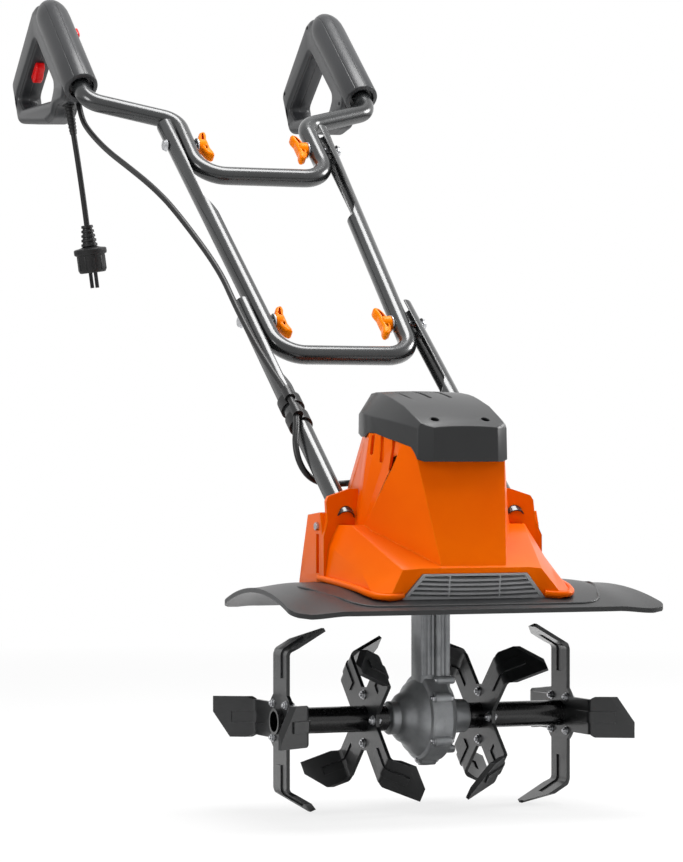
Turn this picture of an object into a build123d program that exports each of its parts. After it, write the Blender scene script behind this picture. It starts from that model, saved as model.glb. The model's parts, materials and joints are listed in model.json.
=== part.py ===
from build123d import *
from math import cos, pi, radians, sin, tan
import os

os.makedirs("parts", exist_ok=True)

# Electric tiller: an upright motor and worm gearbox drive four tine stars, and a folding
# handle in three sections carries two D-shaped grips. Millimetres, +Z up, front at -Y.
# Everything is placed from the middle of the rotor's axle, and then written out
# from the point midway between the operator's two hands.
HANDS = (0.0, 788.0, 788.0)

# Handle tubes. A place is (y, z) in the side view; each tube of a pair nests in the other's flat
TUBE_R = 11.0
TUBE_WALL = 1.5
SLIP_FIT = 0.15
LOWER_SLOPE = 38.5
UPPER_SLOPE = 41.0
LOWER_BOLT = (256.0, 434.0)
LOWER_TUBE_X = 100.0
LOWER_TUBE_DOWN = 352.0
LOWER_TUBE_UP = 34.0
FLAT_DEPTH = 9.5
FLAT_DOWN = 112.0
FLAT_RUNOUT = 26.0
NEST_GAP = 2.5
MIDDLE_LEG = 337.0
MIDDLE_SPLAY = 14.0
MIDDLE_TOP_OVER = 40.0
BAR_DROP = 58.0
BAR_BEND_R = 34.0
UPPER_LEG_OVER = 50.0
UPPER_BEND_R = 26.0
GRIP_X = 186.0
GRIP_RING = (606.0, 730.0)
GRIP_RUN = 172.0

# Pivot bolts and wing knobs
BOLT_R = 4.0
PIN_CLEARANCE = 0.05
BOLT_HEAD_R = 7.5
BOLT_HEAD_T = 4.0
BOLT_HEAD_TAPER = 25.0
HEAD_GAP = 0.8
KNOB_GAP = 1.8
KNOB_HUB_R = 9.5
KNOB_HUB_T = 11.0
KNOB_WING_T = 7.0
KNOB_WING_R = 24.0
KNOB_RAKE = 4.0

# D-grips, in the side view: Y back, Z up
SLEEVE_R = 21.0
SLEEVE_END = 3.0
RING_RECESS_R = 16.0
RING_RECESS = 8.0
GRIP_HALF_T = 17.0
GRIP_EDGE = 4.0
GRIP_ROOT = 24.0
GRIP_OUTLINE = (
    (628.0, 716.0), (664.0, 712.0), (672.0, 700.0), (700.0, 694.0),
    (815.0, 704.0), (842.0, 757.0), (756.0, 842.0), (742.0, 848.0),
)
GRIP_WINDOW = ((742.0, 803.0), (668.0, 739.0), (680.0, 722.0), (800.0, 722.0), (818.0, 736.0))
TRIGGER_LONG = 28.0
TRIGGER_DEEP = 12.0
TRIGGER_SLOPE = 4.7
TRIGGER_HEEL = 8.4
TRIGGER_TOE = 9.3
TRIGGER_LIP = 2.4
TRIGGER_W = 12.0
SWITCH_GAP = 0.3
BUTTON_UP = 118.0
BUTTON_LONG = 16.0
BUTTON_W = 9.0
BUTTON_T = 5.0
BUTTON_TAPER = 12.0

# Rotor: tubes on the gearbox shaft, each with two four-armed stars
SHAFT_R = 10.0
SHAFT_END = 96.0
AXLE_R = 14.0
AXLE_BORE_R = 11.0
AXLE_GAP = 3.0
AXLE_END = 174.0
OUTER_STAR_X = 165.0
INNER_STAR_X = 68.0
STAR_T = 4.0
STAR_HUB_R = 34.0
STAR_BOLT_PCD = 52.0
STAR_BOLT_R = 4.0
OUTER_PHASE = 0.0
INNER_PHASE = -45.0

# One blade, seen from its face: it stands up from the hub, bends sideways and ends in a slant
BLADE_ROOT = 26.0
BLADE_W = 38.0
BLADE_TIP_W = 44.0
BLADE_TIP_SLANT = 15.0
BEND_AT = 74.0
BEND_ANGLE = 60.0
BEND_R = 5.0
BLADE_RUN = 47.0
RIB_W = 12.0
RIB_H = 1.6
RIB_ROOT = 46.0
RIB_END = 20.0

# Gearbox: two cast halves that meet at GEAR_X
GEAR_X = 4.0
GEAR_R = 47.0
BELL_OUT = 47.0
BACK_OUT = 45.0
HUB_R = 15.0
HUB_STEP = 8.0
HUB_FLARE = 3.0
HUB_LONG = 22.0
BELL_SHOULDER = 20.0
RIM_OUT = 20.0
RIM_STEP = 8.0
RIM_T = 12.0
LUG_R = 6.0
LUG_PCD = 92.0
LUG_HALF_T = 9.0
LUG_ANGLES = (-150.0, -90.0, -30.0, 30.0, 150.0)
NECK_HALF_W = 16.0
NECK_HALF_D = 21.0
NECK_FOOT = 20.0
NECK_TOP = 150.0
FLANGE_HALF_W = 4.0
FLANGE_OUT = 6.0

# Guard plate over the tines
GUARD_T = 5.0
GUARD_FRONT = -160.0
GUARD_REAR = 112.0
GUARD_EDGE_Z = 122.0
GUARD_CROWN_Z = 148.0
GUARD_FRONT_X = 216.0
GUARD_REAR_X = 192.0
GUARD_CORNER_R = 18.0
NECK_HOLE_GAP = 0.5

# Housing, motor and cap. Each section is half of a symmetric outline: (half width, y), front first
COVER_GAP = 0.3
SKIRT_FOOT_Z = 116.0
SKIRT_FOOT = ((88.0, -152.0), (104.0, -150.0), (120.0, -112.0), (131.0, -12.0), (130.0, 34.0), (108.0, 80.0))
SKIRT_WAIST_Z = 162.0
SKIRT_WAIST = ((62.0, -137.0), (80.0, -136.0), (121.0, -108.0), (126.0, -12.0), (125.0, 30.0), (100.0, 72.0))
SKIRT_HEAD_Z = 214.0
SKIRT_HEAD = ((98.0, -36.0), (103.0, -33.0), (110.0, -22.0), (112.0, -8.0), (108.0, 24.0), (86.0, 60.0))
TOWER_FOOT_Z = 150.0
TOWER_HEAD_Z = 312.0
TOWER_FOOT = ((42.0, -127.0), (98.0, -30.0), (96.0, 50.0))
TOWER_HEAD = ((49.0, -99.0), (74.0, -27.0), (56.0, 45.0))
SOCKET_IN_X = 88.0
SOCKET_OUT_X = 128.0
SOCKET_SIDE = (
    (-22.0, 122.0), (-20.0, 205.0), (-16.0, 222.0), (17.0, 219.0), (26.0, 193.0), (34.0, 170.0),
    (41.0, 148.0), (44.0, 122.0),
)
SOCKET_WALL_Y = -24.0
SOCKET_WALL_T = 12.0
SOCKET_WALL = ((84.0, 122.0), (128.0, 122.0), (128.0, 232.0), (124.0, 238.0), (94.0, 247.0), (84.0, 247.0))
SOCKET_SLOT = (-11.0, 178.0)
SOCKET_SLOT_LONG = 42.0
SOCKET_SLOT_W = 9.0
SOCKET_SLOT_DEEP = 4.0
SOCKET_BOLT_Z = 207.0
SOCKET_BOLT_R = 2.5
SOCKET_BOLT_HEAD_R = 4.5
SOCKET_BOLT_HEAD_T = 3.0
SOCKET_BOLT_LONG = 9.0
CAP_PLAN = ((52.0, -104.0), (75.0, -35.0), (68.0, 10.0), (45.0, 55.0))
CAP_SIDE = (
    (-106.0, 270.0), (-103.0, 314.0), (-58.0, 336.0), (-10.0, 352.0), (24.0, 350.0), (46.0, 334.0),
    (58.0, 270.0),
)
CAP_FRONT = ((-80.0, 260.0), (-80.0, 314.0), (-47.0, 352.0), (47.0, 352.0), (80.0, 314.0), (80.0, 260.0))
CAP_PARTING = (
    (-140.0, 279.0), (-70.0, 280.0), (-38.0, 301.0), (120.0, 308.0), (120.0, 400.0), (-140.0, 400.0),
)
MOTOR_Y = -22.0
MOTOR_R = 43.0
MOTOR_H = 104.0
MOTOR_ROOM = 3.0

# Grille: a trapezium of bars, let into the skirt's front
GRILLE_FOOT_UP = 16.5
GRILLE_TALL = 28.5
GRILLE_FOOT_X = 84.0
GRILLE_TOP_X = 58.0
GRILLE_T = 5.0
GRILLE_PROUD = 1.0
GRILLE_RIM = 4.0
GRILLE_ROWS = 4
GRILLE_COLUMNS = 3
GRILLE_BAR = 2.2

# Leads, clips, gland and plug
LEAD_R = 3.5
LEAD_GAP = 0.2
LEAD_RUN = 52.3
CLIP_DOWN = (155.0, 185.0)
CLIP_LONG = 16.0
CLIP_T = 2.5
CLIP_TURN = 25.0
CLIP_AIR = 1.0
CLIP_LUG = (12.0, 9.0)
GLAND_LONG = 37.5
GLAND_R = 6.5
GLAND_TIP_R = 4.5
GLAND_COLLAR_R = 8.0
GLAND_COLLAR_T = 3.0
PLUG_NECK = 29.0
PLUG_NECK_R = 9.5
PLUG_RIBS = 4
PLUG_RIB_T = 3.5
PLUG_RIB_H = 1.0
PLUG_RIB_GROWTH = 0.5
PLUG_COLLAR_R = 20.5
PLUG_COLLAR_T = 8.0
PLUG_BODY_R = 17.5
PLUG_BODY_T = 22.0
PIN_R = 2.4
PIN_LONG = 19.0
PIN_PITCH = 19.0

# What follows from these: nested tubes, the handle's two slopes and its pivots
MIDDLE_BOTTOM_X = LOWER_TUBE_X - 2 * TUBE_R + FLAT_DEPTH - NEST_GAP
MIDDLE_TOP_X = MIDDLE_BOTTOM_X + MIDDLE_SPLAY
UPPER_LEG_X = MIDDLE_TOP_X - 2 * TUBE_R + FLAT_DEPTH - NEST_GAP
UP_LOW = Vector(0, cos(radians(LOWER_SLOPE)), sin(radians(LOWER_SLOPE)))
UP_HIGH = Vector(0, cos(radians(UPPER_SLOPE)), sin(radians(UPPER_SLOPE)))
LOW_PIVOT = Vector(0, *LOWER_BOLT)
TOP_PIVOT = LOW_PIVOT + UP_HIGH * MIDDLE_LEG
TUBE_FOOT = LOW_PIVOT - UP_LOW * LOWER_TUBE_DOWN
RING = Vector(GRIP_X, *GRIP_RING)
FAR = 400.0


def put_out(piece, label):
    """Write one piece from the point between the operator's hands."""
    shifted = piece.moved(Location(-Vector(*HANDS)))
    shifted.label = label
    export_step(shifted, f"parts/{label}.step")


def side_name(side):
    return "left" if side < 0 else "right"


def prism(plane, points, reach):
    """A closed outline on a plane, carried so far to both of its sides."""
    with BuildPart() as made:
        with BuildSketch(plane):
            with BuildLine():
                Polyline(*points, close=True)
            make_face()
        extrude(amount=reach, both=True)
    return made.part


# Handle: what the press takes off the inner side of a tube's upper end, with a sloping run-out
def press(side, pivot, up, over, face_x):
    lengthwise = Plane(origin=pivot, x_dir=(side, 0, 0), z_dir=Vector(side, 0, 0).cross(up))
    return prism(lengthwise, (
        (0, over), (face_x, over), (face_x, -FLAT_DOWN),
        (face_x - FLAT_DEPTH - TUBE_WALL, -FLAT_DOWN - FLAT_RUNOUT), (0, -FLAT_DOWN - FLAT_RUNOUT),
    ), 2 * TUBE_R)


def tube(points, radii, radius):
    """Solid bar along straight runs joined by arcs, or along one straight run."""
    with BuildPart() as made:
        with BuildLine() as route:
            if radii:
                FilletPolyline(*points, radius=radii)
            else:
                Line(*points)
        with BuildSketch(Plane(origin=route.line @ 0, z_dir=route.line % 0)):
            Circle(radius)
        sweep()
    return made.part


def frame_tube(points, radii, presses, pivots):
    """Tube with its bore, its pressed ends and its pivot holes.

    Each press is (side, pivot, direction, length over the pivot, x of the flat's face)."""
    with BuildPart() as bore:
        add(tube(points, radii, TUBE_R - TUBE_WALL))
        for side, pivot, up, over, face_x in presses:
            add(press(side, pivot, up, over, face_x - TUBE_WALL), mode=Mode.SUBTRACT)
    with BuildPart() as made:
        add(tube(points, radii, TUBE_R))
        for side, pivot, up, over, face_x in presses:
            add(press(side, pivot, up, over, face_x), mode=Mode.SUBTRACT)
        add(bore.part, mode=Mode.SUBTRACT)
        for pivot in pivots:
            with BuildSketch(Plane(origin=pivot, z_dir=(1, 0, 0))):
                Circle(BOLT_R + PIN_CLEARANCE)
            extrude(amount=LOWER_TUBE_X + 2 * TUBE_R, both=True, mode=Mode.SUBTRACT)
    return made.part


def lower_tube(side):
    """Straight tube from its socket in the housing to just over the lower bolt."""
    across = Vector(side * LOWER_TUBE_X, 0, 0)
    flat = (side, LOW_PIVOT, UP_LOW, FAR, LOWER_TUBE_X - TUBE_R + FLAT_DEPTH)
    ends = [across + TUBE_FOOT, across + LOW_PIVOT + UP_LOW * LOWER_TUBE_UP]
    return frame_tube(ends, [], [flat], [LOW_PIVOT])


# Middle frame: a U with its bar below the lower bolts and its legs spread a little at the top
def middle_at(side, up):
    x = MIDDLE_BOTTOM_X + MIDDLE_SPLAY * up / MIDDLE_LEG
    return Vector(side * x, 0, 0) + LOW_PIVOT + UP_HIGH * up


middle_frame = frame_tube(
    [middle_at(-1, MIDDLE_LEG + MIDDLE_TOP_OVER), middle_at(-1, -BAR_DROP),
     middle_at(1, -BAR_DROP), middle_at(1, MIDDLE_LEG + MIDDLE_TOP_OVER)],
    [BAR_BEND_R] * 2,
    [(side, TOP_PIVOT, UP_HIGH, FAR, MIDDLE_TOP_X - TUBE_R + FLAT_DEPTH) for side in (-1, 1)],
    [LOW_PIVOT, TOP_PIVOT],
)
put_out(middle_frame, "middle_frame")

# Upper frame: the same U, whose legs turn outwards to the grips and then run up inside them
right_half = [
    Vector(UPPER_LEG_X, 0, 0) + TOP_PIVOT - UP_HIGH * BAR_DROP,
    Vector(UPPER_LEG_X, 0, 0) + TOP_PIVOT + UP_HIGH * UPPER_LEG_OVER,
    RING - UP_HIGH * UPPER_BEND_R,
    RING + UP_HIGH * GRIP_RUN,
]
left_half = [Vector(-p.X, p.Y, p.Z) for p in reversed(right_half)]
turns = [UPPER_BEND_R, UPPER_BEND_R, BAR_BEND_R]
upper_frame = frame_tube(left_half + right_half, turns + turns[::-1], [], [TOP_PIVOT])
put_out(upper_frame, "upper_frame")


def bolt(side, pivot, head_x, end_x):
    """Pivot bolt along X: round head outside the tubes, shank in to the knob."""
    with BuildPart() as made:
        with BuildSketch(Plane(origin=pivot + Vector(side * head_x, 0, 0), z_dir=(side, 0, 0))):
            Circle(BOLT_HEAD_R)
        extrude(amount=BOLT_HEAD_T, taper=BOLT_HEAD_TAPER)
        with BuildSketch(Plane(origin=pivot + Vector(side * head_x, 0, 0), z_dir=(-side, 0, 0))):
            Circle(BOLT_R)
        extrude(amount=head_x - end_x)
    return made.part


def knob(side, pivot, face_x):
    """Wing knob on the bolt's inner end: a round hub with two wings raked away from the tube."""
    centre = pivot + Vector(side * face_x, 0, 0)
    face = Plane(origin=centre, x_dir=UP_HIGH, z_dir=(-side, 0, 0))
    with BuildPart() as made:
        with BuildSketch(face):
            Circle(KNOB_HUB_R)
        extrude(amount=KNOB_HUB_T)
        add(prism(Plane(origin=centre, x_dir=UP_HIGH, z_dir=UP_HIGH.cross(Vector(-side, 0, 0))), (
            (-KNOB_HUB_R, 0), (KNOB_HUB_R, 0), (KNOB_WING_R - KNOB_RAKE, KNOB_RAKE),
            (KNOB_WING_R, KNOB_HUB_T), (KNOB_WING_R - KNOB_RAKE, KNOB_HUB_T + KNOB_RAKE / 2),
            (KNOB_HUB_R / 2, KNOB_HUB_T - KNOB_RAKE / 2), (-KNOB_HUB_R / 2, KNOB_HUB_T - KNOB_RAKE / 2),
            (KNOB_RAKE - KNOB_WING_R, KNOB_HUB_T + KNOB_RAKE / 2), (-KNOB_WING_R, KNOB_HUB_T),
            (KNOB_RAKE - KNOB_WING_R, KNOB_RAKE),
        ), KNOB_WING_T / 2))
        with BuildSketch(face):
            Circle(BOLT_R + PIN_CLEARANCE)
        extrude(amount=KNOB_HUB_T, mode=Mode.SUBTRACT)
    return made.part


JOINTS = (
    # name, pivot, outer tube's x, inner tube's x
    ("lower", LOW_PIVOT, LOWER_TUBE_X, MIDDLE_BOTTOM_X),
    ("upper", TOP_PIVOT, MIDDLE_TOP_X, UPPER_LEG_X),
)
for side in (-1, 1):
    put_out(lower_tube(side), f"lower_tube_{side_name(side)}")
    for name, pivot, outer_x, inner_x in JOINTS:
        knob_x = inner_x - TUBE_R - KNOB_GAP
        bolt_end_x = knob_x - KNOB_HUB_T
        head_x = outer_x + TUBE_R + HEAD_GAP
        put_out(bolt(side, pivot, head_x, bolt_end_x), f"{name}_bolt_{side_name(side)}")
        put_out(knob(side, pivot, knob_x), f"{name}_knob_{side_name(side)}")

# Leads: each route is a list of straight runs, joined by the largest arcs that they allow
tube_top = Vector(0, -UP_LOW.Z, UP_LOW.Y)
tube_side = Vector(-sin(radians(CLIP_TURN)), 0, 0) + tube_top * cos(radians(CLIP_TURN))
clip_seats = [Vector(-LOWER_TUBE_X, 0, 0) + LOW_PIVOT - UP_LOW * down for down in CLIP_DOWN]
clip_lead = [seat + tube_side * (TUBE_R + CLIP_T + LEAD_R + CLIP_AIR) for seat in clip_seats]
LEAD_MEETING = (-133.0, 338.0, 529.0)
LEAD_TURNED = (-145.0, 384.0, 568.0)
lead_onward = (Vector(*LEAD_MEETING) - Vector(*LEAD_TURNED)).normalized()
UPPER_ROUTE = (
    (-176.8, 644.5, 716.0), (-177.5, 632.0, 695.0), (-176.5, 600.0, 675.0), (-172.0, 551.0, 650.0),
    (-165.0, 487.0, 624.0), (-156.0, 431.0, 598.0), LEAD_TURNED, LEAD_MEETING,
)
LOWER_ROUTE = (
    tuple(Vector(*LEAD_MEETING) + lead_onward * LEAD_GAP),
    tuple(Vector(*LEAD_MEETING) + lead_onward * LEAD_RUN), (-121.0, 250.0, 451.0), (-119.5, 198.0, 410.0),
    (-114.0, 156.0, 376.0), tuple(clip_lead[0]), tuple(clip_lead[1]),
    (-113.0, 86.0, 314.0), (-119.0, 76.0, 296.0), (-118.0, 68.0, 276.0), (-109.0, 65.0, 260.0),
    (-93.0, 66.0, 252.0), (-76.0, 67.5, 251.0), (-63.0, 65.0, 251.8), (-58.4, 57.0, 252.6),
    (-58.0, 47.3, 253.0),
)
MAINS_ROUTE = ((-181.0, 652.0, 678.0), (-172.0, 650.0, 622.0), (-164.0, 651.0, 566.0))


def lead(points, radius):
    """Round lead along a route."""
    radii = []
    for before, at, after in zip(points, points[1:], points[2:]):
        into, out = Vector(*at) - Vector(*before), Vector(*after) - Vector(*at)
        radii.append(0.45 * min(into.length, out.length) / tan(radians(into.get_angle(out)) / 2))
    print("lead radii", [round(r) for r in radii])
    made = tube([Vector(*p) for p in points], radii, radius)
    print("lead length", round(made.volume / (pi * radius**2)))
    return made


def run_pocket(start, end, radius):
    """Round hole for a lead or gland that enters a moulding along its first run."""
    start, along = Vector(*start), (Vector(*end) - Vector(*start)).normalized()
    return tube([start - along * SLIP_FIT, start + along * 2 * radius], [], radius)


mains_start, mains_next = Vector(*MAINS_ROUTE[0]), Vector(*MAINS_ROUTE[1])
gland_root = mains_start + (mains_start - mains_next).normalized() * GLAND_LONG
put_out(lead(UPPER_ROUTE, LEAD_R), "motor_lead_upper")
put_out(lead(LOWER_ROUTE, LEAD_R), "motor_lead_lower")
put_out(lead(MAINS_ROUTE, LEAD_R), "mains_lead")

with BuildPart() as mains_gland:
    with BuildSketch(Plane(origin=gland_root, z_dir=mains_start - gland_root)):
        Circle(GLAND_R)
    with BuildSketch(Plane(origin=mains_start, z_dir=mains_start - gland_root)):
        Circle(GLAND_TIP_R)
    loft()
    with BuildSketch(Plane(origin=gland_root, z_dir=mains_start - gland_root)):
        Circle(GLAND_COLLAR_R)
    extrude(amount=GLAND_COLLAR_T)
put_out(mains_gland.part, "mains_gland")


def lead_clip(seat, lead_at):
    """Band about the tube, a boss that holds the lead, and the band's lug on the far side."""
    far = seat - tube_side * (TUBE_R + CLIP_T)
    with BuildPart() as made:
        with BuildSketch(Plane(origin=seat, z_dir=UP_LOW)):
            Circle(TUBE_R + CLIP_T)
        extrude(amount=CLIP_LONG / 2, both=True)
        with BuildSketch(Plane(origin=lead_at, z_dir=UP_LOW)):
            Circle(LEAD_R + CLIP_T)
        extrude(amount=CLIP_LONG / 2, both=True)
        with BuildSketch(Plane(origin=far, x_dir=tube_side, z_dir=UP_LOW)):
            Rectangle(*CLIP_LUG)
        extrude(amount=CLIP_LONG / 4, both=True)
        with BuildSketch(Plane(origin=seat, z_dir=UP_LOW)):
            Circle(TUBE_R + SLIP_FIT)
        extrude(amount=CLIP_LONG, both=True, mode=Mode.SUBTRACT)
        add(lead(LOWER_ROUTE, LEAD_R + SLIP_FIT), mode=Mode.SUBTRACT)
    return made.part


for name, seat, lead_at in zip(("upper", "lower"), clip_seats, clip_lead):
    put_out(lead_clip(seat, lead_at), f"lead_clip_{name}")

# Plug: ribbed neck, round collar and body, and two round pins
plug_start = Vector(*MAINS_ROUTE[-1])
plug_axis = Plane(origin=plug_start, x_dir=(0, 1, 0), z_dir=plug_start - Vector(*MAINS_ROUTE[-2]))
rib_pitch = (PLUG_NECK - PLUG_RIB_T) / PLUG_RIBS
with BuildPart() as mains_plug:
    with BuildSketch(plug_axis):
        Circle(PLUG_NECK_R - PLUG_RIB_H)
    extrude(amount=PLUG_NECK)
    for rib in range(PLUG_RIBS):
        with BuildSketch(plug_axis.offset(rib * rib_pitch)):
            Circle(PLUG_NECK_R + rib * PLUG_RIB_GROWTH)
        extrude(amount=PLUG_RIB_T)
    with BuildSketch(plug_axis.offset(PLUG_NECK)):
        Circle(PLUG_COLLAR_R)
    extrude(amount=PLUG_COLLAR_T)
    with BuildSketch(plug_axis.offset(PLUG_NECK)):
        Circle(PLUG_BODY_R)
    extrude(amount=PLUG_COLLAR_T + PLUG_BODY_T)
put_out(mains_plug.part, "mains_plug")
with BuildPart() as plug_pins:
    with BuildSketch(plug_axis.offset(PLUG_NECK + PLUG_COLLAR_T + PLUG_BODY_T)):
        with GridLocations(PIN_PITCH, 0, 2, 1):
            Circle(PIN_R)
    extrude(amount=PIN_LONG)
put_out(plug_pins.part, "plug_pins")


# D-grip: two moulded halves about the tube, meeting on its middle plane
def grip_solid(half):
    """half is -1 or 1 for the moulding on that side of the grip's middle plane, in X."""
    root = Vector(0, *GRIP_RING) + UP_HIGH * GRIP_ROOT
    sleeve = Plane(origin=(0, *GRIP_RING), z_dir=UP_HIGH)
    with BuildPart() as made:
        with BuildSketch(Plane.YZ):
            with BuildLine():
                Polyline(*GRIP_OUTLINE, (root.Y, root.Z), close=True)
            make_face()
            with BuildLine():
                Polyline(*GRIP_WINDOW, close=True)
            make_face(mode=Mode.SUBTRACT)
        extrude(amount=GRIP_HALF_T, both=True)
        chamfer(made.faces().filter_by(Axis.X).edges(), GRIP_EDGE)
        with BuildSketch(sleeve):
            Circle(SLEEVE_R)
        extrude(amount=GRIP_RUN + SLEEVE_END)
        with BuildSketch(sleeve.offset(-1)):
            Circle(TUBE_R + SLIP_FIT)
        extrude(amount=GRIP_RUN + 1 + SLIP_FIT, mode=Mode.SUBTRACT)
        with BuildSketch(sleeve):
            Circle(RING_RECESS_R)
        extrude(amount=RING_RECESS, mode=Mode.SUBTRACT)
        split(bisect_by=Plane.YZ, keep=Keep.TOP if half > 0 else Keep.BOTTOM)
    return made.part


for side in (-1, 1):
    for half, half_name in ((-side, "inner"), (side, "outer")):
        with BuildPart() as shell:
            add(grip_solid(half).moved(Location((side * GRIP_X, 0, 0))))
            if side < 0:
                add(run_pocket(gland_root, mains_start, GLAND_COLLAR_R + SLIP_FIT), mode=Mode.SUBTRACT)
                add(run_pocket(UPPER_ROUTE[0], UPPER_ROUTE[1], LEAD_R + SLIP_FIT), mode=Mode.SUBTRACT)
        put_out(shell.part, f"grip_{side_name(side)}_{half_name}")

# Switch: trigger on the hand bar's inner face and lock button on the sleeve, left grip only
bar_top, bar_foot = Vector(0, *GRIP_WINDOW[0]), Vector(0, *GRIP_WINDOW[-1])
along_bar = (bar_top - bar_foot).normalized()
trigger_plane = Plane(
    origin=Vector(-GRIP_X, 0, 0) + (bar_top + bar_foot) * 0.5, x_dir=along_bar, z_dir=(1, 0, 0),
)
put_out(prism(trigger_plane, (
    (-TRIGGER_LONG / 2, SWITCH_GAP), (TRIGGER_LONG / 2, SWITCH_GAP),
    (TRIGGER_LONG / 2 - TRIGGER_SLOPE, TRIGGER_HEEL), (TRIGGER_TOE - TRIGGER_LONG / 2, TRIGGER_DEEP),
    (-TRIGGER_LONG / 2, TRIGGER_DEEP - TRIGGER_LIP),
), TRIGGER_W / 2), "switch_trigger")
button_at = Vector(SLEEVE_R + SWITCH_GAP - GRIP_X, *GRIP_RING) + UP_HIGH * BUTTON_UP
with BuildPart() as lock_button:
    with BuildSketch(Plane(origin=button_at, x_dir=UP_HIGH, z_dir=(1, 0, 0))):
        SlotOverall(BUTTON_LONG, BUTTON_W)
    extrude(amount=BUTTON_T, taper=BUTTON_TAPER)
put_out(lock_button.part, "lock_button")

# Gearbox: bell-shaped left half and flat right half, with lugs where the two are bolted
GEAR_HALVES = (
    # side, (distance from the parting face, radius) from the hub's end to the rim
    (-1, (
        (BELL_OUT, HUB_R), (BELL_OUT - HUB_STEP, HUB_R + HUB_FLARE),
        (BELL_OUT - HUB_LONG, GEAR_R - BELL_SHOULDER), (RIM_OUT, GEAR_R - RIM_STEP), (RIM_T, GEAR_R),
    )),
    (1, (
        (BACK_OUT, HUB_R), (BACK_OUT - HUB_LONG, HUB_R + HUB_FLARE), (RIM_OUT, GEAR_R - RIM_STEP),
        (RIM_T, GEAR_R),
    )),
)
for side, section in GEAR_HALVES:
    with BuildPart() as gear_half:
        with BuildSketch(Plane(origin=(GEAR_X, 0, 0), x_dir=(side, 0, 0), z_dir=(0, -side, 0))):
            with BuildLine():
                Polyline(
                    (0, SHAFT_R + PIN_CLEARANCE), (section[0][0], SHAFT_R + PIN_CLEARANCE), *section,
                    (0, GEAR_R), close=True,
                )
            make_face()
        revolve(axis=Axis((0, 0, 0), (1, 0, 0)))
        with BuildSketch(Plane(origin=(GEAR_X, 0, 0), x_dir=(0, 1, 0), z_dir=(side, 0, 0))):
            for angle in LUG_ANGLES:
                with Locations((LUG_PCD / 2 * cos(radians(angle)), side * LUG_PCD / 2 * sin(radians(angle)))):
                    Circle(LUG_R)
        extrude(amount=LUG_HALF_T)
        with BuildSketch(Plane.XY.offset(NECK_FOOT)):
            with Locations((GEAR_X + side * NECK_HALF_W / 2, 0)):
                Rectangle(NECK_HALF_W, 2 * NECK_HALF_D)
            with Locations((GEAR_X + side * FLANGE_HALF_W / 2, 0)):
                Rectangle(FLANGE_HALF_W, 2 * (NECK_HALF_D + FLANGE_OUT))
        extrude(amount=NECK_TOP - NECK_FOOT)
    put_out(gear_half.part, f"gearbox_{side_name(side)}_half")

# Rotor: shaft, tubes and stars
with BuildPart() as output_shaft:
    with BuildSketch(Plane.YZ):
        Circle(SHAFT_R)
    extrude(amount=SHAFT_END, both=True)
put_out(output_shaft.part, "output_shaft")


def blade_strip(bend, inner, outer, foot, end, width):
    """Bent strip between two depths from the plate's middle, bend is the side it leans to."""
    angle = radians(BEND_ANGLE)
    lean = Vector(bend * sin(angle), cos(angle))
    square = Vector(bend * cos(angle), -sin(angle))
    knee = Vector(0, BEND_AT)
    mitre = Vector(bend, -tan(angle / 2))
    start = Vector(0, foot)
    reach = knee + lean * (BLADE_RUN - end)
    with BuildPart() as made:
        with BuildSketch(Plane.XZ) as section:
            with BuildLine():
                Polyline(
                    start + Vector(bend, 0) * inner, knee + mitre * inner, reach + square * inner,
                    reach + square * outer, knee + mitre * outer, start + Vector(bend, 0) * outer, close=True,
                )
            make_face()
            for depth in (inner, outer):
                corner = section.vertices().sort_by_distance(knee + mitre * depth)[0]
                fillet(corner, BEND_R + STAR_T / 2 - depth)
        extrude(amount=width / 2, both=True)
    return made.part


def blade(bend):
    """One arm, standing up from the axle, with its slanted tip and its pressed rib."""
    tip_z = BEND_AT + BLADE_RUN * cos(radians(BEND_ANGLE)) + STAR_T
    with BuildPart() as made:
        add(blade_strip(bend, -STAR_T / 2, STAR_T / 2, BLADE_ROOT, 0, BLADE_TIP_W))
        add(prism(Plane.YZ, (
            (-BLADE_W / 2, BLADE_ROOT), (BLADE_W / 2, BLADE_ROOT), (BLADE_W / 2, BEND_AT),
            (BLADE_TIP_W / 2, BEND_AT + STAR_T), (BLADE_TIP_W / 2, tip_z - BLADE_TIP_SLANT),
            (-BLADE_TIP_W / 2, tip_z), (-BLADE_TIP_W / 2, BEND_AT + STAR_T), (-BLADE_W / 2, BEND_AT),
        ), FAR), mode=Mode.INTERSECT)
        add(blade_strip(bend, -STAR_T / 2 - RIB_H, -STAR_T / 2, RIB_ROOT, RIB_END, RIB_W))
        add(blade_strip(bend, STAR_T / 2 - RIB_H, STAR_T / 2, RIB_ROOT, RIB_END, RIB_W), mode=Mode.SUBTRACT)
    return made.part


def star(side, phase):
    """Four pressed arms on one plate; opposite pairs bend in and out by turns."""
    with BuildPart() as made:
        with BuildSketch(Plane.YZ.offset(-STAR_T / 2)):
            Circle(STAR_HUB_R)
            Circle(AXLE_R + SLIP_FIT, mode=Mode.SUBTRACT)
            with PolarLocations(STAR_BOLT_PCD / 2, 4, start_angle=phase + 45):
                Circle(STAR_BOLT_R, mode=Mode.SUBTRACT)
        extrude(amount=STAR_T)
        for arm in range(4):
            bend = -side if arm % 2 == 0 else side
            add(blade(bend).moved(Location((0, 0, 0), (phase + 90 * arm, 0, 0))))
    return made.part


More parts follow.
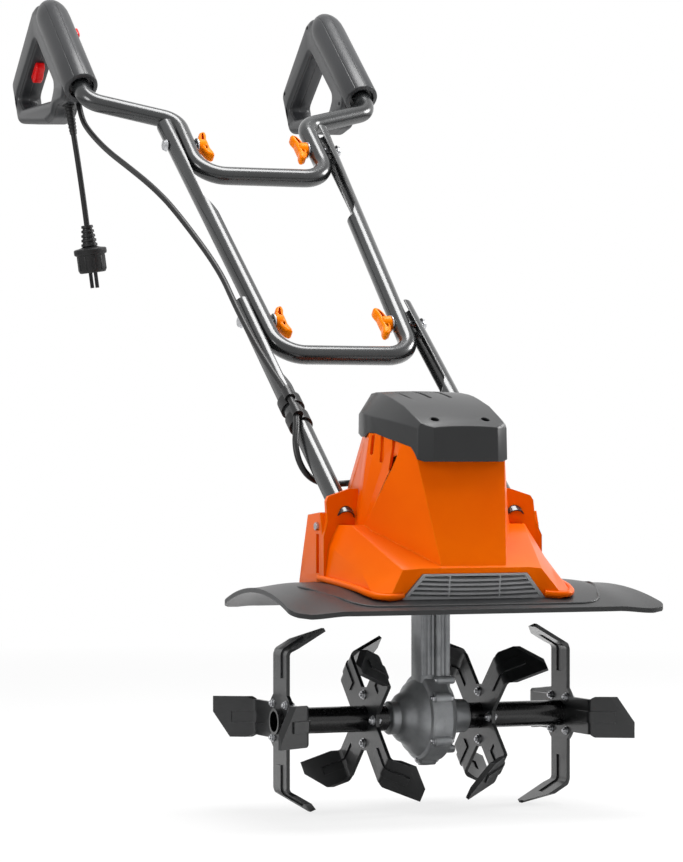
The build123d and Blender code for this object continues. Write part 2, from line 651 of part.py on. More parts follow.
AXLES = ((-1, BELL_OUT - GEAR_X), (1, BACK_OUT + GEAR_X))
for side, hub_face in AXLES:
    tube_start = hub_face + AXLE_GAP
    with BuildPart() as axle_tube:
        with BuildSketch(Plane.YZ.offset(side * tube_start)):
            Circle(AXLE_R)
            Circle(SHAFT_R + SLIP_FIT, mode=Mode.SUBTRACT)
        extrude(amount=side * (AXLE_END - tube_start))
        with BuildSketch(Plane.YZ.offset(side * SHAFT_END)):
            Circle(AXLE_BORE_R)
        extrude(amount=side * (AXLE_END - SHAFT_END), mode=Mode.SUBTRACT)
    put_out(axle_tube.part, f"axle_tube_{side_name(side)}")
    outer_place = Location((side * OUTER_STAR_X, 0, 0))
    inner_place = Location((side * INNER_STAR_X, 0, 0))
    put_out(star(side, OUTER_PHASE).moved(outer_place), f"outer_star_{side_name(side)}")
    put_out(star(side, INNER_PHASE).moved(inner_place), f"inner_star_{side_name(side)}")


# Guard: a plate rolled to an arc over the tines, narrower behind
guard_middle = (GUARD_FRONT + GUARD_REAR) / 2
guard_rise = GUARD_CROWN_Z - GUARD_EDGE_Z
guard_roll_r = (((GUARD_REAR - GUARD_FRONT) / 2) ** 2 + guard_rise**2) / (2 * guard_rise)
guard_axis = Plane(origin=(0, guard_middle, GUARD_CROWN_Z - guard_roll_r), x_dir=(0, 1, 0), z_dir=(1, 0, 0))
neck_hole = (2 * (NECK_HALF_W + NECK_HOLE_GAP), 2 * (NECK_HALF_D + FLANGE_OUT + NECK_HOLE_GAP))
with BuildPart() as tine_guard:
    with BuildSketch(guard_axis):
        Circle(guard_roll_r)
        Circle(guard_roll_r - GUARD_T, mode=Mode.SUBTRACT)
    extrude(amount=FAR, both=True)
    with BuildSketch(Plane.XY):
        with BuildLine():
            Polyline(
                (-GUARD_FRONT_X, GUARD_FRONT), (GUARD_FRONT_X, GUARD_FRONT),
                (GUARD_REAR_X, GUARD_REAR), (-GUARD_REAR_X, GUARD_REAR), close=True,
            )
        make_face()
        fillet(vertices(), GUARD_CORNER_R)
        with Locations((GEAR_X, 0)):
            Rectangle(*neck_hole, mode=Mode.SUBTRACT)
    extrude(amount=FAR, mode=Mode.INTERSECT)
put_out(tine_guard.part, "tine_guard")

# Grille, on the plane of the skirt's front face
grille_up = Vector(0, SKIRT_WAIST[0][1] - SKIRT_FOOT[0][1], SKIRT_WAIST_Z - SKIRT_FOOT_Z).normalized()
grille_foot = Vector(0, SKIRT_FOOT[0][1], SKIRT_FOOT_Z) + grille_up * GRILLE_FOOT_UP
grille_plane = Plane(origin=grille_foot, x_dir=(1, 0, 0), z_dir=Vector(1, 0, 0).cross(grille_up))


def grille_outline(margin, depth):
    """The grille's trapezium, made smaller by a margin all round, as a block of a given depth."""
    slant = margin * (1 + (GRILLE_FOOT_X - GRILLE_TOP_X) / GRILLE_TALL)
    with BuildPart() as made:
        with BuildSketch(grille_plane.offset(GRILLE_PROUD)):
            with BuildLine():
                Polyline(
                    (slant - GRILLE_FOOT_X, margin), (GRILLE_FOOT_X - slant, margin),
                    (GRILLE_TOP_X - margin, GRILLE_TALL - margin),
                    (margin - GRILLE_TOP_X, GRILLE_TALL - margin),
                    close=True,
                )
            make_face()
        extrude(amount=-depth)
    return made.part


with BuildPart() as grille_bars:
    with BuildSketch(grille_plane.offset(GRILLE_PROUD)):
        for row in range(1, GRILLE_ROWS):
            with Locations((0, GRILLE_TALL * row / GRILLE_ROWS)):
                Rectangle(2 * GRILLE_FOOT_X, GRILLE_BAR)
        for column in range(1, GRILLE_COLUMNS):
            with Locations(((column / GRILLE_COLUMNS - 0.5) * 2 * GRILLE_FOOT_X, GRILLE_TALL / 2)):
                Rectangle(GRILLE_BAR, GRILLE_TALL)
    extrude(amount=-GRILLE_T)
    add(grille_outline(GRILLE_RIM, GRILLE_T), mode=Mode.INTERSECT)
with BuildPart() as front_grille:
    add(grille_outline(0, GRILLE_T))
    add(grille_outline(GRILLE_RIM, GRILLE_T), mode=Mode.SUBTRACT)
    add(grille_bars.part)
put_out(front_grille.part, "front_grille")


# Housing
def level_outline(half, z):
    """Closed symmetric outline on a level plane, from its half table."""
    with BuildSketch(Plane.XY.offset(z)) as made:
        with BuildLine():
            Polyline(*half, *[(-x, y) for x, y in reversed(half)], close=True)
        make_face()
    return made.sketch


def stack(*levels):
    """Straight-sided loft through level outlines, each with its height."""
    with BuildPart() as made:
        loft([level_outline(half, z).face() for half, z in levels], ruled=True)
    return made.part


def cap_parting(lift):
    """All that lies above the line where the black cap meets the tower."""
    return prism(Plane.YZ, [(y, z + lift) for y, z in CAP_PARTING], FAR)


def cover_socket(side):
    """Socket for a handle tube: a box with a slot in its outer panel, and a higher wall in front."""
    middle = (SOCKET_IN_X + SOCKET_OUT_X) / 2
    slot_at = (side * SOCKET_OUT_X, *SOCKET_SLOT)
    wall_plane = Plane(origin=(0, SOCKET_WALL_Y, 0), x_dir=(1, 0, 0), z_dir=(0, -1, 0))
    with BuildPart() as made:
        add(prism(Plane.YZ.offset(side * middle), SOCKET_SIDE, (SOCKET_OUT_X - SOCKET_IN_X) / 2))
        add(prism(wall_plane, [(side * x, z) for x, z in SOCKET_WALL], SOCKET_WALL_T / 2))
        with BuildSketch(Plane(origin=slot_at, x_dir=(0, 0, 1), z_dir=(side, 0, 0))):
            SlotOverall(SOCKET_SLOT_LONG, SOCKET_SLOT_W)
        extrude(amount=-SOCKET_SLOT_DEEP, mode=Mode.SUBTRACT)
    return made.part


def socket_bolt(side, clearance):
    """Bolt over the slot: its head stands on the outer panel and its shank in the box."""
    panel = Plane(origin=(side * SOCKET_OUT_X, SOCKET_SLOT[0], SOCKET_BOLT_Z), z_dir=(side, 0, 0))
    with BuildPart() as made:
        with BuildSketch(panel):
            RegularPolygon(SOCKET_BOLT_HEAD_R, 6)
        extrude(amount=SOCKET_BOLT_HEAD_T)
        with BuildSketch(panel):
            Circle(SOCKET_BOLT_R + clearance)
        extrude(amount=-SOCKET_BOLT_LONG)
    return made.part


with BuildPart() as motor_cover:
    add(stack((SKIRT_FOOT, SKIRT_FOOT_Z), (SKIRT_WAIST, SKIRT_WAIST_Z), (SKIRT_HEAD, SKIRT_HEAD_Z)))
    add(stack((TOWER_FOOT, TOWER_FOOT_Z), (TOWER_HEAD, TOWER_HEAD_Z)))
    for side in (-1, 1):
        add(cover_socket(side))
        add(socket_bolt(side, PIN_CLEARANCE), mode=Mode.SUBTRACT)
        socket_foot = Vector(side * LOWER_TUBE_X, 0, 0) + TUBE_FOOT
        add(tube([socket_foot, socket_foot + UP_LOW * FAR], [], TUBE_R + SLIP_FIT), mode=Mode.SUBTRACT)
    add(cap_parting(0), mode=Mode.SUBTRACT)
    with BuildSketch(guard_axis):
        Circle(guard_roll_r + COVER_GAP)
    extrude(amount=FAR, both=True, mode=Mode.SUBTRACT)
    add(grille_outline(-COVER_GAP, GRILLE_T + COVER_GAP), mode=Mode.SUBTRACT)
    with BuildSketch(Plane.XY):
        with Locations((GEAR_X, MOTOR_Y)):
            Circle(MOTOR_R + MOTOR_ROOM)
        with Locations((GEAR_X, 0)):
            Rectangle(*neck_hole)
    extrude(amount=NECK_TOP + MOTOR_H + MOTOR_ROOM, mode=Mode.SUBTRACT)
put_out(motor_cover.part, "motor_cover")
for side in (-1, 1):
    put_out(socket_bolt(side, 0), f"socket_bolt_{side_name(side)}")

with BuildPart() as motor_cap:
    add(stack((CAP_PLAN, CAP_SIDE[0][1]), (CAP_PLAN, CAP_SIDE[3][1])))
    add(prism(Plane.YZ, CAP_SIDE, FAR), mode=Mode.INTERSECT)
    add(prism(Plane.XZ, CAP_FRONT, FAR), mode=Mode.INTERSECT)
    add(cap_parting(COVER_GAP), mode=Mode.INTERSECT)
put_out(motor_cap.part, "motor_cap")

with BuildPart() as motor_block:
    with BuildSketch(Plane.XY.offset(NECK_TOP)):
        with Locations((GEAR_X, MOTOR_Y)):
            Circle(MOTOR_R)
    extrude(amount=MOTOR_H)
put_out(motor_block.part, "motor_block")
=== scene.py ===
# %% [markdown]
# # An electric garden tiller, dressed in Blender
# The drawing office has already made the tiller's solids: tubes, bolts, gearbox, tine stars.
# This lesson loads them as a fixed frame and dresses them: the mouldings get their facets,
# slots and ribs, the leads get their smooth line, and every surface gets a finish.
# The frame comes first, because each later piece is placed by it.

# %% Load the frame
import json
import math

import bmesh
import bpy
from mathutils import Matrix, Vector

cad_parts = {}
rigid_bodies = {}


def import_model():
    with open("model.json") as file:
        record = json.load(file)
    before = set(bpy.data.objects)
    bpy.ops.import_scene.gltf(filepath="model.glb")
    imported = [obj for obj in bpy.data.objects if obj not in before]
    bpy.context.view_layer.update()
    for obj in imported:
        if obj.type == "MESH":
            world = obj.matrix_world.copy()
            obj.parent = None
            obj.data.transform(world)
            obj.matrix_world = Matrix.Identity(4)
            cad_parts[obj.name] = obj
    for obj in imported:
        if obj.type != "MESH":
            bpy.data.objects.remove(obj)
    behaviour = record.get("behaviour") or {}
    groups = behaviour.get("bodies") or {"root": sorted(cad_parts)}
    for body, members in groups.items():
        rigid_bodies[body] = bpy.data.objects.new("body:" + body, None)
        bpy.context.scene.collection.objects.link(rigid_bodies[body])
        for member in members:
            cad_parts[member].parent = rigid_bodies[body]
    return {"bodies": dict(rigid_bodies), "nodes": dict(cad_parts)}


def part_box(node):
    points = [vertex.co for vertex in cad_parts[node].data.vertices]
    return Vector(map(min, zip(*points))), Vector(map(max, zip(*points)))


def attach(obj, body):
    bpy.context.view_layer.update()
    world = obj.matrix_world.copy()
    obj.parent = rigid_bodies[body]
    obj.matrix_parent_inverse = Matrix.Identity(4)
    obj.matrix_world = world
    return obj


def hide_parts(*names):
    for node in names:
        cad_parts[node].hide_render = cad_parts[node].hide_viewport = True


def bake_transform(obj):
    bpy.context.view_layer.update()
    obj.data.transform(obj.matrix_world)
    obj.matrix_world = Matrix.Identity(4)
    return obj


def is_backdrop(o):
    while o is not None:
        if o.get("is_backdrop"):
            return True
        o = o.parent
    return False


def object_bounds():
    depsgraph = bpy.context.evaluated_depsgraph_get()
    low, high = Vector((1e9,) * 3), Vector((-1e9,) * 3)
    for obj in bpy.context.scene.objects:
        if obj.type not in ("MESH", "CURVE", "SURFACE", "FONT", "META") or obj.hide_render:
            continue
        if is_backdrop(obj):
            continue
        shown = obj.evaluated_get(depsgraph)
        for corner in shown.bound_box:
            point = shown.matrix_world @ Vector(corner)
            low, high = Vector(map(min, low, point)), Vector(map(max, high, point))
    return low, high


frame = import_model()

scene = bpy.context.scene
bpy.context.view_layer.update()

# %% [markdown]
# The tiller was measured in millimetres from the middle of its axle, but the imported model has
# its origin between the operator's hands. One helper turns the first kind of place into the second,
# so every size below can be read as a maker would read it off the real machine.

# %% Places in millimetres
HANDS = Vector((0.0, 788.0, 788.0))
MM = 0.001


def at(x, y, z):
    """A place in millimetres from the axle's middle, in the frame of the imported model."""
    return (Vector((x, y, z)) - HANDS) * MM


TINES_LOW = -99.2
print("floor at", round(at(0, 0, TINES_LOW).z, 4))

# %% [markdown]
# The camera stands low in front of the machine, a little to its left, and far
# away with a long lens, which keeps upright edges upright, as in a catalogue picture. It is placed
# by its three axes and not by aiming it at something, because the axes were found from the picture.

# %% Camera
SENSOR_MM = 36
FOCAL_PIXELS, PICTURE_WIDE = 3500, 683
AZIMUTH, ELEVATION = math.radians(-22.74), math.radians(-0.33)
camera_right = Vector((math.cos(AZIMUTH), math.sin(AZIMUTH), 0))
camera_back = Vector((
    math.sin(AZIMUTH) * math.cos(ELEVATION),
    -math.cos(AZIMUTH) * math.cos(ELEVATION),
    math.sin(ELEVATION),
))
camera_up = camera_back.cross(camera_right)
camera_data = bpy.data.cameras.new("camera")
camera_data.sensor_fit = "HORIZONTAL"
camera_data.sensor_width = SENSOR_MM
camera_data.lens = SENSOR_MM * FOCAL_PIXELS / PICTURE_WIDE
camera_data.clip_end = 100
camera = bpy.data.objects.new("camera", camera_data)
scene.collection.objects.link(camera)
axes = Matrix((camera_right, camera_up, camera_back)).transposed().to_4x4()
camera.matrix_world = Matrix.Translation(at(-1544, -3455, 287)) @ axes
scene.camera = camera
print("lens", round(camera_data.lens, 1), "mm")

# %% [markdown]
# Shapes are kept as plain lists of corners and faces until a piece is complete. That way a boss,
# a rib and a panel can be made by different means and still become one moulding.

# %% Shapes: loft, turn and sweep
def loft(rings):
    """Faces between loops of as many points each, with the first and last loop filled."""
    count = len(rings[0])
    verts = [Vector(p) for ring in rings for p in ring]
    faces = []
    for r in range(len(rings) - 1):
        for i in range(count):
            j = (i + 1) % count
            faces.append((r * count + i, r * count + j, (r + 1) * count + j, (r + 1) * count + i))
    faces.append(tuple(range(count))[::-1])
    faces.append(tuple(range((len(rings) - 1) * count, len(rings) * count)))
    return verts, faces


def joined(*shapes):
    """Several shapes as one."""
    verts, faces = [], []
    for more, sides in shapes:
        faces += [tuple(i + len(verts) for i in side) for side in sides]
        verts += more
    return verts, faces


def beside(axis):
    """Two directions square to an axis."""
    axis = Vector(axis).normalized()
    across = axis.orthogonal().normalized()
    return across, axis.cross(across)


def turned(profile, origin, axis, steps=40):
    """A turned form: (millimetres along the axis, radius in millimetres) from a place."""
    axis = Vector(axis).normalized()
    across, up = beside(axis)
    thinnest = 0.02
    rings = []
    for along, radius in profile:
        centre = Vector(origin) + axis * along * MM
        rings.append([
            centre + (across * math.cos(a) + up * math.sin(a)) * max(radius, thinnest) * MM
            for a in (2 * math.pi * i / steps for i in range(steps))
        ])
    return loft(rings)


def swept(points, radius, steps=20):
    """A round bar along a line of places, turned as little as possible from one to the next."""
    rings, across = [], None
    for i, point in enumerate(points):
        ahead = points[min(i + 1, len(points) - 1)] - points[max(i - 1, 0)]
        ahead.normalize()
        across = ahead.orthogonal() if across is None else across - ahead * across.dot(ahead)
        across.normalize()
        up = ahead.cross(across)
        rings.append([
            point + (across * math.cos(a) + up * math.sin(a)) * radius * MM
            for a in (2 * math.pi * k / steps for k in range(steps))
        ])
    return loft(rings)


print("lofts, turned forms and swept bars are ready")

# %% [markdown]
# Flat mouldings with rounded edges, such as a grip or a wing knob, are quickest as a filled curve:
# Blender fills the outline, cuts the inner ones out of it, gives it depth and rolls its edges.
# The curve is only a tool here, so its mesh is taken and the curve is thrown away.

# %% Shapes: rounded plates and cuts
def rounded(points, radius, steps=6):
    """A closed outline in millimetres with its corners turned to arcs."""
    made = []
    for i, corner in enumerate(points):
        before = Vector(points[i - 1]) - Vector(corner)
        after = Vector(points[(i + 1) % len(points)]) - Vector(corner)
        half = before.angle(after) / 2
        back = min(radius / math.tan(half), 0.48 * before.length, 0.48 * after.length)
        first = Vector(corner) + before.normalized() * back
        last = Vector(corner) + after.normalized() * back
        for s in range(steps + 1):
            t = s / steps
            made.append((1 - t) ** 2 * first + 2 * t * (1 - t) * Vector(corner) + t * t * last)
    return [tuple(p) for p in made]


def plate(outlines, place, thick, edge, steps=3):
    """A plate of outlines in millimetres on a placed plane, with rolled edges."""
    curve = bpy.data.curves.new("plate", "CURVE")
    curve.dimensions = "2D"
    curve.fill_mode = "BOTH"
    for outline in outlines:
        spline = curve.splines.new("POLY")
        spline.points.add(len(outline) - 1)
        for point, (x, y) in zip(spline.points, outline):
            point.co = (x * MM, y * MM, 0, 1)
        spline.use_cyclic_u = True
    curve.extrude = (thick / 2 - edge) * MM
    curve.bevel_depth = edge * MM
    curve.bevel_resolution = steps
    curve.offset = -edge * MM
    holder = bpy.data.objects.new("plate", curve)
    scene.collection.objects.link(holder)
    bpy.context.view_layer.update()
    mesh = bpy.data.meshes.new_from_object(holder)
    verts = [place @ v.co for v in mesh.vertices]
    faces = [tuple(p.vertices) for p in mesh.polygons]
    bpy.data.objects.remove(holder)
    bpy.data.meshes.remove(mesh)
    bpy.data.curves.remove(curve)
    return verts, faces


def plane(origin, across, up):
    """Where a plate lies: its origin, and the directions of its outline's two axes."""
    across = Vector(across).normalized()
    out = across.cross(Vector(up)).normalized()
    turned_axes = Matrix((across, out.cross(across), out)).transposed().to_4x4()
    return Matrix.Translation(Vector(origin)) @ turned_axes


def meshed(name, shape):
    """A mesh object of a shape, with doubled corners joined and its faces turned outwards."""
    verts, faces = shape
    mesh = bpy.data.meshes.new(name)
    mesh.from_pydata([tuple(v) for v in verts], [], faces)
    work = bmesh.new()
    work.from_mesh(mesh)
    bmesh.ops.remove_doubles(work, verts=work.verts, dist=1e-6)
    bmesh.ops.recalc_face_normals(work, faces=work.faces)
    work.to_mesh(mesh)
    work.free()
    made = bpy.data.objects.new(name, mesh)
    scene.collection.objects.link(made)
    return made


def united(first, *others, operation="UNION"):
    """The first shape joined with the others, or with the others cut out of it."""
    base = meshed("base", first)
    for other in others:
        tool = meshed("tool", other)
        step = base.modifiers.new("step", "BOOLEAN")
        step.operation = operation
        step.object = tool
        step.solver = "EXACT"
        bpy.context.view_layer.update()
        worked = base.evaluated_get(bpy.context.evaluated_depsgraph_get())
        mesh = bpy.data.meshes.new_from_object(worked)
        base.modifiers.clear()
        base.data = mesh
        bpy.data.objects.remove(tool)
    verts = [v.co.copy() for v in base.data.vertices]
    faces = [tuple(p.vertices) for p in base.data.polygons]
    bpy.data.objects.remove(base)
    return verts, faces


print("plates, joins and cuts are ready")

# %% [markdown]
# A finish is a tree of nodes. Written as sums it stays readable, so one small class wraps a socket
# and lets it be added, multiplied and subtracted like a number, and one method adds any other node.

# %% Shader sums
class Wire:
    """An output socket that can be used in a sum."""

    def __init__(self, output):
        self.output = output

    def sum(self, operation, *terms):
        tree = self.output.id_data
        node = tree.nodes.new("ShaderNodeMath")
        node.operation = operation
        for term, socket in zip(terms, node.inputs):
            if isinstance(term, Wire):
                tree.links.new(term.output, socket)
            else:
                socket.default_value = term
        return Wire(node.outputs[0])

    def __add__(self, other):
        return self.sum("ADD", self, other)

    def __radd__(self, other):
        return self.sum("ADD", other, self)

    def __sub__(self, other):
        return self.sum("SUBTRACT", self, other)

    def __rsub__(self, other):
        return self.sum("SUBTRACT", other, self)

    def __mul__(self, other):
        return self.sum("MULTIPLY", self, other)

    def __rmul__(self, other):
        return self.sum("MULTIPLY", other, self)


def linear(part):
    """One part of a screen colour, from 0 to 1, as the amount of light it stands for."""
    return part / 12.92 if part <= 0.04045 else ((part + 0.055) / 1.055) ** 2.4


def hue(text):
    """A colour written as on a paint chart, in the light values that shaders use."""
    return (*[linear(int(text[i:i + 2], 16) / 255) for i in (1, 3, 5)], 1.0)


class Finish:
    """A material in the making."""

    def __init__(self, name):
        self.material = bpy.data.materials.new(name)
        self.material.use_nodes = True
        self.tree = self.material.node_tree
        self.shader = self.tree.nodes["Principled BSDF"]

    def node(self, kind, settings=(), values=(), out=0):
        """Adds one node: its settings first, then the values or links of its sockets."""
        node = self.tree.nodes.new(kind)
        for name, value in dict(settings).items():
            setattr(node, name, value)
        for name, value in dict(values).items():
            self.put(node.inputs[name], value)
        return Wire(node.outputs[out])

    def put(self, socket, value):
        if isinstance(value, Wire):
            self.tree.links.new(value.output, socket)
        else:
            socket.default_value = value

    def where(self):
        return self.node("ShaderNodeTexCoord", out="Object")

    def noise(self, scale, detail=2.0, stretch=(1, 1, 1)):
        """Even noise from 0 to 1, with so many grains in a metre."""
        place = self.node("ShaderNodeMapping", values={"Vector": self.where(), "Scale": stretch})
        values = {"Vector": place, "Scale": scale, "Detail": detail}
        return self.node("ShaderNodeTexNoise", values=values)

    def graded(self, value, low, high, least=0.0, most=1.0):
        return self.node("ShaderNodeMapRange", values={
            "Value": value, "From Min": low, "From Max": high, "To Min": least, "To Max": most,
        })

    def blend(self, share, first, second):
        """The first colour where share is 0, the second where it is 1."""
        values = {0: share, 6: first, 7: second}
        return self.node("ShaderNodeMix", {"data_type": "RGBA"}, values, out=2)

    def soft_edges(self, radius):
        return self.node("ShaderNodeBevel", {"samples": 4}, {"Radius": radius * MM})

    def rims(self, radius):
        """1 along outer and inner edges, 0 on the flats between them."""
        facing = self.node("ShaderNodeNewGeometry", out="Normal")
        both = {0: self.soft_edges(radius), 1: facing}
        same = self.node("ShaderNodeVectorMath", {"operation": "DOT_PRODUCT"}, both, out=1)
        return self.graded(1 - same, 0.02, 0.16)

    def seam(self, middle, off):
        """1 in a hairline that lies so far to either side of a middle, on both grips."""
        across = self.node("ShaderNodeSeparateXYZ", values={"Vector": self.where()}, out="X")
        away = across.sum("ABSOLUTE", across) - middle
        gap = away.sum("ABSOLUTE", away) - off
        return 1 - self.graded(gap.sum("ABSOLUTE", gap), 0.0003, 0.0007)

    def bump(self, height, depth, strength=1.0, normal=None):
        values = {"Height": height, "Distance": depth * MM, "Strength": strength}
        if normal:
            values["Normal"] = normal
        return self.node("ShaderNodeBump", values=values)

    def done(self, **sockets):
        for name, value in sockets.items():
            self.put(self.shader.inputs[name.replace("_", " ")], value)
        return self.material


print("shader sums are ready")

# %% [markdown]
# The orange housing is moulded ABS: an even, slightly glossy skin with a very fine grain, a touch
# paler along its edges. A slow cloud of tone keeps large facets from looking like paper.

# %% Moulded plastics
WHITE = (1.0, 1.0, 1.0, 1.0)
SEAM_DARK = hue("#08080a")
GRIP_X = 186.0


def moulded(
    name, dark, light, rub, gloss, shine, grain=0.02, edge=1.2, wear=0.3, seams=(), tint=WHITE,
):
    """A moulded plastic between two close tones, rubbed paler along its edges."""
    f = Finish(name)
    cloud = f.noise(9, 3)
    fine = f.noise(1400, 2)
    tone = f.blend(f.graded(cloud, 0.3, 0.7), hue(dark), hue(light))
    tone = f.blend(f.rims(edge) * wear, tone, hue(rub))
    height = fine * grain
    for off in seams:
        line = f.seam(GRIP_X * MM, off * MM)
        tone = f.blend(line * 0.7, tone, SEAM_DARK)
        height = height - line * 0.3
    f.shader.inputs["Specular IOR Level"].default_value = shine
    f.shader.inputs["Specular Tint"].default_value = tint
    return f.done(
        Base_Color=tone,
        Roughness=gloss + 0.08 * (fine - 0.5) + 0.06 * (cloud - 0.5),
        Normal=f.bump(height, 1.0, 0.8, f.soft_edges(edge)),
    )


# name, darker and lighter tone, tone of rubbed edges, roughness, specular level, depth of the
# grain in mm, width of the edges in mm, and how far they are rubbed
ORANGE = moulded(
    "orange housing", "#ec5c00", "#f66a00", "#ff9a20", 0.32, 0.3, 0.012, 1.6, 0.5,
    tint=hue("#ff8a1e"),
)
KNOB_ORANGE = moulded(
    "orange knobs", "#f87800", "#ff8604", "#ffb050", 0.30, 0.3, 0.012, 0.9, 0.4,
    tint=hue("#ff9a3c"),
)
CAP_PLASTIC = moulded(
    "dark cap plastic", "#1b1c1d", "#232425", "#55575a", 0.36, 0.42, 0.04, 2.4, 0.25,
)
GRIP_PLASTIC = moulded(
    "grip plastic", "#262729", "#303133", "#66686b", 0.34, 0.4, 0.04, 1.4, 0.25,
    seams=(0.0, 12.6),
)
GUARD_PLASTIC = moulded(
    "guard plastic", "#1d1e1f", "#262728", "#5d5f61", 0.40, 0.4, 0.05, 1.2, 0.25,
)
GRILLE_GREY = moulded(
    "grille plastic", "#8a8b8d", "#9b9c9e", "#c0c1c3", 0.42, 0.35, 0.03, 0.5, 0.4,
)
# This black is the clips' plastic and also the painted shade of the sheet behind the grille.
CLIP_AND_SHADE_BLACK = moulded(
    "clip plastic and painted shade", "#0d0d0e", "#151516", "#3c3c3e", 0.36, 0.35, 0.03, 0.6, 0.3,
)
RED_SWITCH = moulded(
    "red switch plastic", "#cc0508", "#dd0a0c", "#ff4a40", 0.30, 0.3, 0.01, 0.7, 0.3,
)
RUBBER = moulded(
    "soft lead fitting", "#070708", "#0e0e0f", "#2e2e30", 0.42, 0.32, 0.03, 0.5, 0.3,
)
print("plastics:", ORANGE.name, CAP_PLASTIC.name, GRIP_PLASTIC.name)

# %% [markdown]
# Lead sheath is softer than the mouldings: black vinyl with a dull bloom. Its grain is finer than
# that of the mouldings and only takes the edge off the highlight.

# %% Lead sheath
f = Finish("black lead sheath")
bloom = f.noise(60, 3)
grain = f.noise(1800, 1)
f.shader.inputs["Specular IOR Level"].default_value = 0.35
SHEATH = f.done(
    Base_Color=f.blend(bloom, hue("#050506"), hue("#101011")),
    Roughness=0.34 + 0.14 * bloom,
    Normal=f.bump(grain, 0.01, 0.5),
)
print("sheath:", SHEATH.name)

# %% [markdown]
# The handle is steel tube in dark grey gloss paint. Paint on a tube shows as a deep base under a
# clear skin, so the coat does the shining. The peel of the paint is left faint, because a deeper one
# turns the long highlights into grain. On the tines the paint is chipped along the edges.

# %% Painted and bare metals
BARE_STEEL = hue("#6d6f72")


def painted(name, dark, light, gloss, coat, peel=0.0004, chips=0.0):
    """Gloss paint on steel, with so deep a peel in mm and chipped so far along its edges."""
    f = Finish(name)
    cloud = f.noise(14, 3)
    skin = f.noise(420, 1)
    tone = f.blend(f.graded(cloud, 0.35, 0.65), hue(dark), hue(light))
    worn = f.rims(0.7) * f.graded(f.noise(260, 3), 0.46, 0.62) * chips
    f.shader.inputs["Coat Roughness"].default_value = 0.10
    f.shader.inputs["Specular IOR Level"].default_value = 0.4
    return f.done(
        Base_Color=f.blend(worn, tone, BARE_STEEL),
        Metallic=0.15 + 0.75 * worn,
        Roughness=gloss + 0.10 * (skin - 0.5) + 0.12 * worn,
        Coat_Weight=coat,
        Normal=f.bump(skin, peel, 0.5, f.soft_edges(0.5)),
    )


def bare_metal(name, dark, light, gloss, grain, stretch=(1, 1, 1), scale=500):
    """Metal without paint; a stretched grain gives the marks of turning."""
    f = Finish(name)
    fine = f.noise(scale, 3, stretch)
    cloud = f.noise(40, 2)
    return f.done(
        Base_Color=f.blend(f.graded(fine, 0.3, 0.7), hue(dark), hue(light)),
        Metallic=1.0,
        Roughness=gloss + 0.15 * (cloud - 0.5),
        Normal=f.bump(fine, grain, 0.5, f.soft_edges(0.4)),
    )


TUBE_PAINT = painted("grey tube paint", "#1e1f20", "#282a2b", 0.28, 0.55)
TINE_PAINT = painted("black tine paint", "#121314", "#1c1d1e", 0.34, 0.3, 0.008, 0.75)
AXLE_PAINT = painted("black axle paint", "#040405", "#0a0a0b", 0.26, 0.3, 0.004, 0.3)
ZINC = bare_metal("zinc plate", "#9c9da0", "#c3c4c6", 0.30, 0.01)
DARK_PIN = bare_metal("dark nickel pins", "#2c2c2e", "#3c3c3e", 0.24, 0.004)
SHAFT_STEEL = bare_metal("turned steel", "#8a8b8d", "#a9aaac", 0.32, 0.01, (1, 8, 8), 300)
MOTOR_STEEL = bare_metal("motor can", "#7b7c7e", "#8f9092", 0.40, 0.01)

# %% [markdown]
# The gearbox is die-cast aluminium, left as it came from the die: matt grey, faintly mottled, with
# a grain that can be felt. It's only part metal to look at, because its skin is dull.

# %% Die-cast aluminium
f = Finish("die-cast aluminium")
mottle = f.noise(55, 4)
pits = f.noise(900, 3)
CASTING = f.done(
    Base_Color=f.blend(f.graded(mottle, 0.3, 0.7), hue("#7e8082"), hue("#96989a")),
    Metallic=0.45,
    Roughness=0.44 + 0.12 * (pits - 0.5),
    Normal=f.bump(pits, 0.08, 0.7, f.soft_edges(0.8)),
)
print("casting:", CASTING.name)

# %% [markdown]
# A piece is a shape with a name, a finish, the body that carries it, and the plain solids that it
# takes the place of. One helper does all four, so that none is forgotten. Smooth shading by angle
# keeps facets crisp and turned forms round.

# %% Pieces and dressed solids
ROUND_OVER = 28


def piece(name, shape, body, finish, nodes=(), round_edges=0.0, smooth=35):
    """A visible piece; its edges are rounded by millimetres and smoothed up to degrees."""
    made = meshed(name, shape)
    made.data.materials.append(finish)
    if round_edges:
        bevel = made.modifiers.new("edges", "BEVEL")
        bevel.width = round_edges * MM
        bevel.segments = 2
        bevel.limit_method = "ANGLE"
        bevel.angle_limit = math.radians(ROUND_OVER)
    made.data.shade_smooth()
    made.data.set_sharp_from_angle(angle=math.radians(smooth))
    if body:
        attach(made, body)
    if nodes:
        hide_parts(*nodes)
    return made


def dress(finish, *nodes):
    """Gives solids that stay as they are their finish."""
    for name in nodes:
        frame["nodes"][name].material_slots[0].material = finish


dress(TUBE_PAINT, "middle_frame", "upper_frame", "lower_tube_left", "lower_tube_right")
dress(TINE_PAINT, "outer_star_left", "outer_star_right", "inner_star_left", "inner_star_right")
dress(AXLE_PAINT, "axle_tube_left", "axle_tube_right")
dress(SHAFT_STEEL, "output_shaft")
dress(MOTOR_STEEL, "motor_block")
dress(CLIP_AND_SHADE_BLACK, "lead_clip_upper", "lead_clip_lower")
dress(DARK_PIN, "plug_pins")
dress(ZINC, "lower_bolt_left", "lower_bolt_right", "upper_bolt_left", "upper_bolt_right")
dress(ZINC, "socket_bolt_left", "socket_bolt_right")
print("solids dressed")
